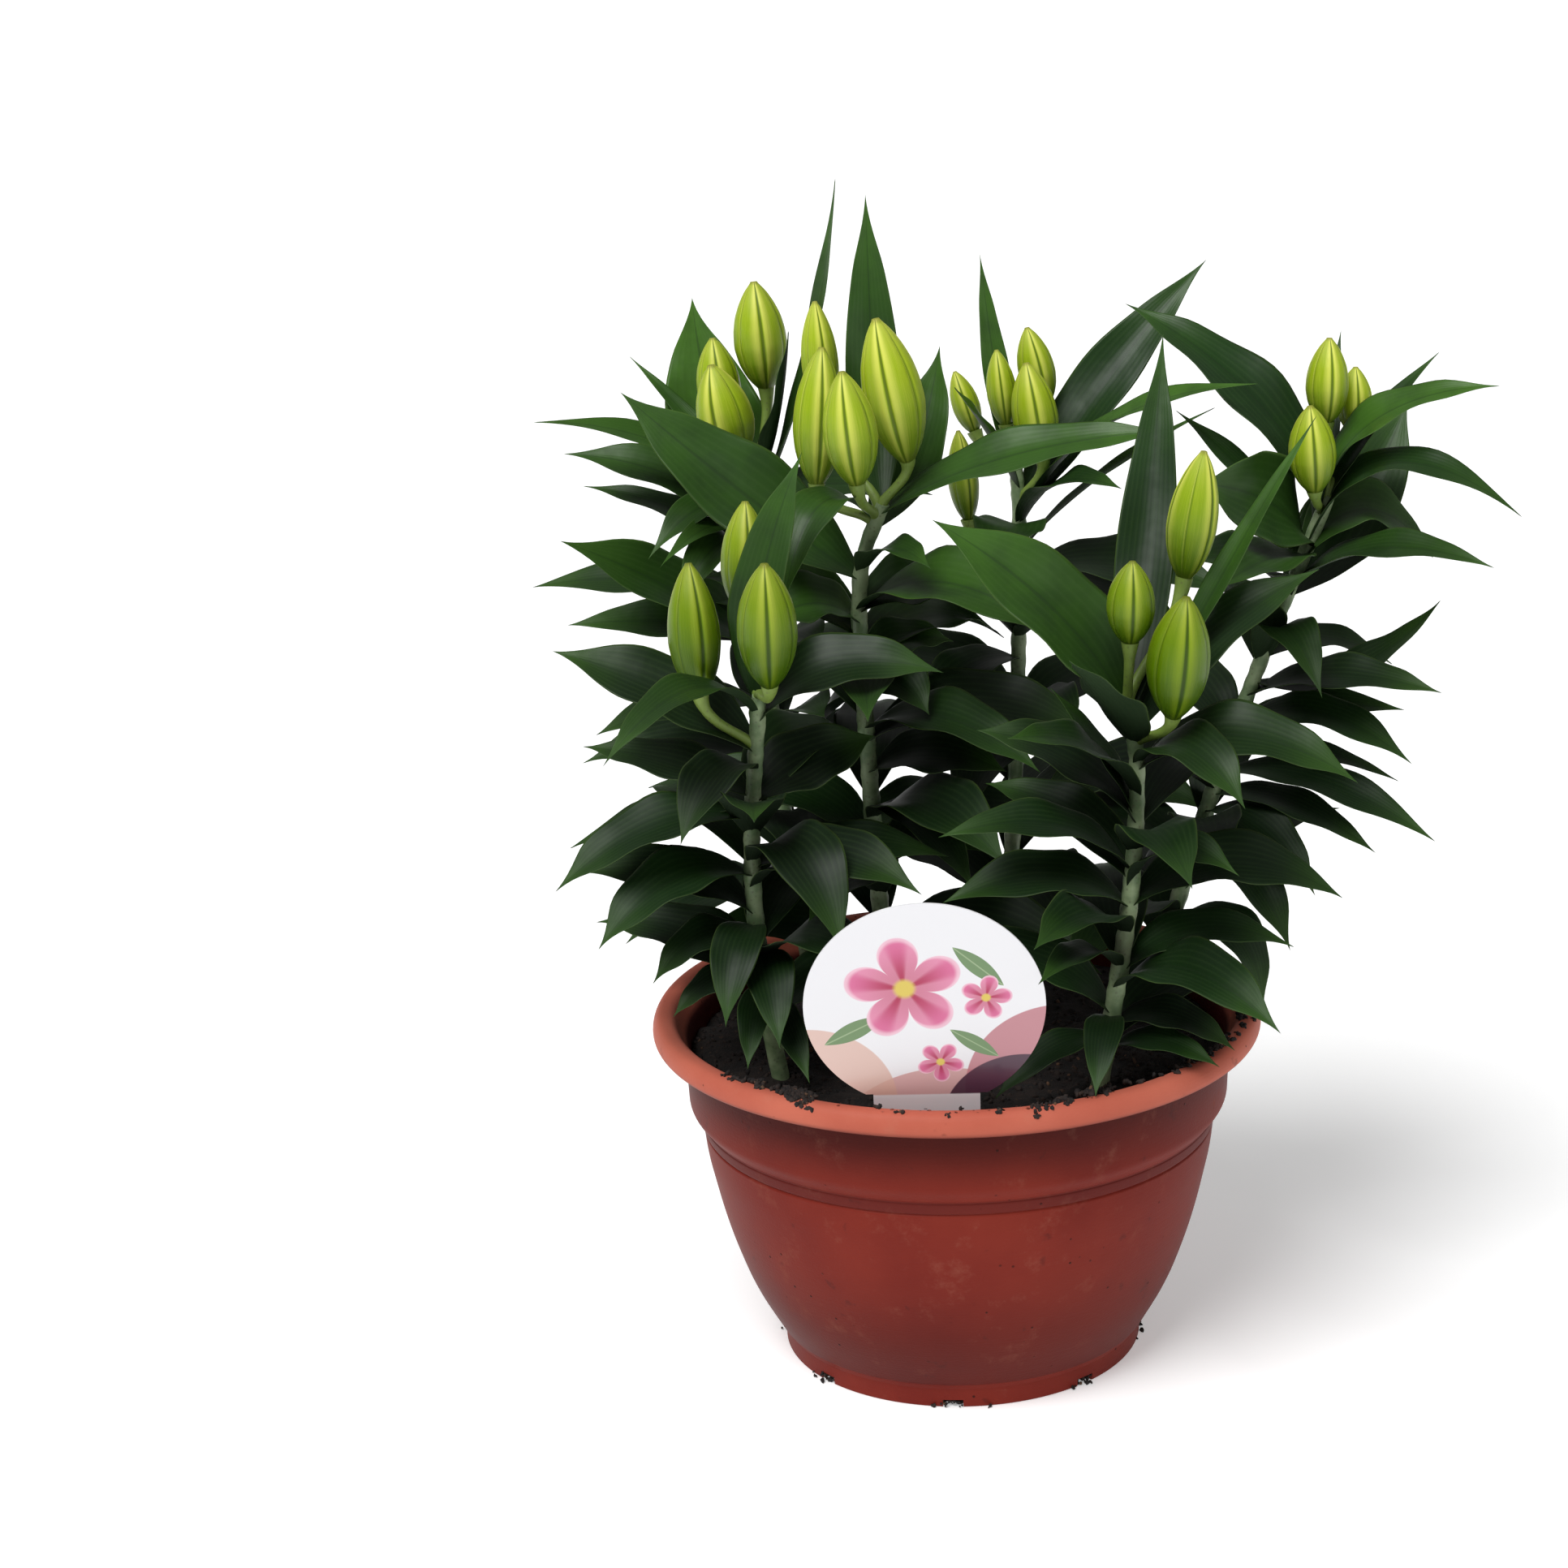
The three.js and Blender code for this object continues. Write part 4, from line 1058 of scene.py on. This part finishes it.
def notch_patches(dice):
    """Small faces in the foot's notches and a few just outside them, where dark crumbs lie"""
    points, faces = [], []
    for angle in NOTCH_ANGLES:
        for _ in range(NOTCH_CRUMBS):
            turn = angle + dice.uniform(-0.058, 0.058)
            faces.append(add_patch(points, turn, dice.uniform(74, 80.5), dice.uniform(0.8, 3.0), 1.4, 1.4))
        for _ in range(NOTCH_MOUTH_CRUMBS):
            turn = angle + dice.gauss(0, 0.1)
            faces.append(add_patch(points, turn, dice.uniform(80.5, 82.5), 0.8, 1, 1))
    return make_mesh("notch_patches", points, faces)


# Label

def label_piece(finish):
    """The card on its stake; card holds each point's place in the card's own plane, in millimetres"""
    join = math.acos(-NECK_TOP / LABEL_RADIUS)
    outline = [polar(LABEL_RADIUS, a) for a in np.linspace(join - math.pi / 2, 1.5 * math.pi - join, 120)]
    outline += [(-NECK_HALF, NECK_TOP), (-NECK_HALF, STAKE_SHOULDER), (0, STAKE_TIP),
                (NECK_HALF, STAKE_SHOULDER), (NECK_HALF, NECK_TOP)]
    count = len(outline)
    lean = Matrix.Rotation(math.pi / 2 + LABEL_LEAN, 3, "X")
    points, cards = [], []
    for depth in (-LABEL_THICKNESS / 2, LABEL_THICKNESS / 2):
        for u, v in outline:
            points.append(lean @ Vector((u, v, depth)) + LABEL_CENTRE)
            cards.append((u, v, 1 if depth > 0 else -1))
    faces = [tuple(reversed(range(count))), tuple(range(count, 2 * count)), *grid_faces(2, count)]
    return dressed(make_mesh("card_label", points, faces, values={"card": cards}), finish, smooth=False)


def water_drops(dice, finish):
    """Small drops of water on the front of the rim"""
    points, faces = [], []
    rings, sides = 4, 12
    for _ in range(DROPS):
        turn = math.radians(dice.uniform(-122, -58))
        r = dice.uniform(126, 132.5)
        z = POT_HEIGHT - max(0, r - 130.5) * RIM_FALL - 0.1
        size = dice.uniform(0.45, 1.0)
        x, y = polar(r, turn)
        faces += [tuple(corner + len(points) for corner in face) for face in closed_skin(rings, sides)]
        for ring in range(rings):
            tilt = (ring + 0.5) / rings * math.pi / 2
            wide, top = size * math.cos(tilt), min(z + 0.6 * size * math.sin(tilt), POT_HEIGHT)
            points += [(x + wide * c, y + wide * s, top) for c, s in circle(sides)]
        points += [(x, y, z - 0.1), (x, y, min(z + 0.6 * size, POT_HEIGHT))]
    return dressed(make_mesh("water_drops", points, faces), finish)


# The studio

def studio():
    camera = bpy.data.cameras.new("camera")
    camera.lens = CAMERA_LENS
    camera.shift_x = CAMERA_SHIFT
    watcher = add_object("camera", camera)
    turn = Matrix.Rotation(math.pi / 2 - CAMERA_DOWN, 4, "X") @ Matrix.Rotation(CAMERA_LEAN, 4, "Z")
    watcher.matrix_world = Matrix.Translation(CAMERA_PLACE) @ turn
    scene.camera = watcher

    made = Finish("pale_floor", roughness=0.9, emission_color=(1, 1, 1, 1), emission_strength=0.3)
    made.feed(base_color=made.mix(made.speckle(0.8), (246, 246, 246), (250, 250, 250)))
    corners = [(a * FLOOR_HALF, b * FLOOR_HALF, FLOOR_LEVEL) for a, b in SQUARE]
    floor = dressed(make_mesh("floor", corners, [(0, 1, 2, 3)]), made.material, smooth=False)

    fill = bpy.data.lights.new("fill_light", "AREA")
    fill.size = 1.2
    fill.energy = 5
    place, aim = Vector((1.7, -1.5, 1.2)), Vector((0, 0, 0.25))
    holder = add_object("fill_light", fill)
    holder.location = place
    holder.rotation_euler = (place - aim).to_track_quat("Z", "Y").to_euler()

    key = bpy.data.lights.new("key_light", "SUN")
    key.energy = 2.85
    key.angle = math.radians(35)
    holder = add_object("key_light", key)
    holder.rotation_euler = Vector((-0.45, -0.75, 1.35)).to_track_quat("Z", "Y").to_euler()

    sky = bpy.data.worlds.new("sky")
    sky.use_nodes = True
    glow = sky.node_tree.nodes["Background"].inputs
    glow["Color"].default_value = (1, 1, 1, 1)
    glow["Strength"].default_value = 0.23
    scene.world = sky
    scene.view_settings.view_transform = "Standard"


# Everything is made and put on the frame

def settle(piece, slot, *nodes):
    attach(piece, "root")
    if nodes:
        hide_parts(*nodes)


def main():
    dice = random.Random(11)
    leaf, stem, bud = leaf_finish(), stem_finish(), bud_finish()
    blades, tubes, crumbs = leaf_tree(), stem_tree(), crumb_tree()
    for name, points in STEM_POINTS.items():
        line = stem_line(points)
        midlines, feet = leaf_midlines(name, line, dice)
        settle(blades.grow(f"leaves_{name}", midlines, Finish=leaf), "stem", f"leafy_stem_{name}")
        settle(tubes.grow(f"stem_{name}", stem_lines(name, line, feet), Finish=stem), "stem")
        for order, (tip, foot, width, _, turn) in enumerate(BUDS[name], 1):
            piece = bud_piece(f"bud_{name}{order}_petals", tip, foot, width, turn, dice.random(), bud)
            settle(piece, "bud", f"bud_{name}{order}")

    settle(pot_piece(pot_finish()), "pot", "pot")
    settle(dressed(soil_mesh("soil_bed"), soil_finish()), "soil", "soil")
    loose = crumb_finish()
    for name, mesh, seed, density, size in (
            ("soil_crumbs", soil_mesh("soil_top", with_body=False), 4, 36000.0, 0.0021),
            ("rim_crumbs", rim_patches(dice), 9, 420000.0, 0.0018),
            ("foot_crumbs", notch_patches(dice), 13, 420000.0, 0.0014)):
        piece = crumbs.grow(name, mesh, Finish=loose, Seed=seed, Density=density, Size=size)
        for point in piece.data.vertices:
            point.co.z = max(point.co.z, 0)  # a crumb lies on the floor, not in it
        settle(piece, "soil")
    settle(label_piece(label_finish()), "label", "label")
    settle(water_drops(dice, drop_finish()), "pot")
    scales = bulb_finish()
    for name in STEM_POINTS:
        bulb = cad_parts[f"bulb_{name}"].data
        bulb.materials.clear()
        bulb.materials.append(scales)
    studio()


main()
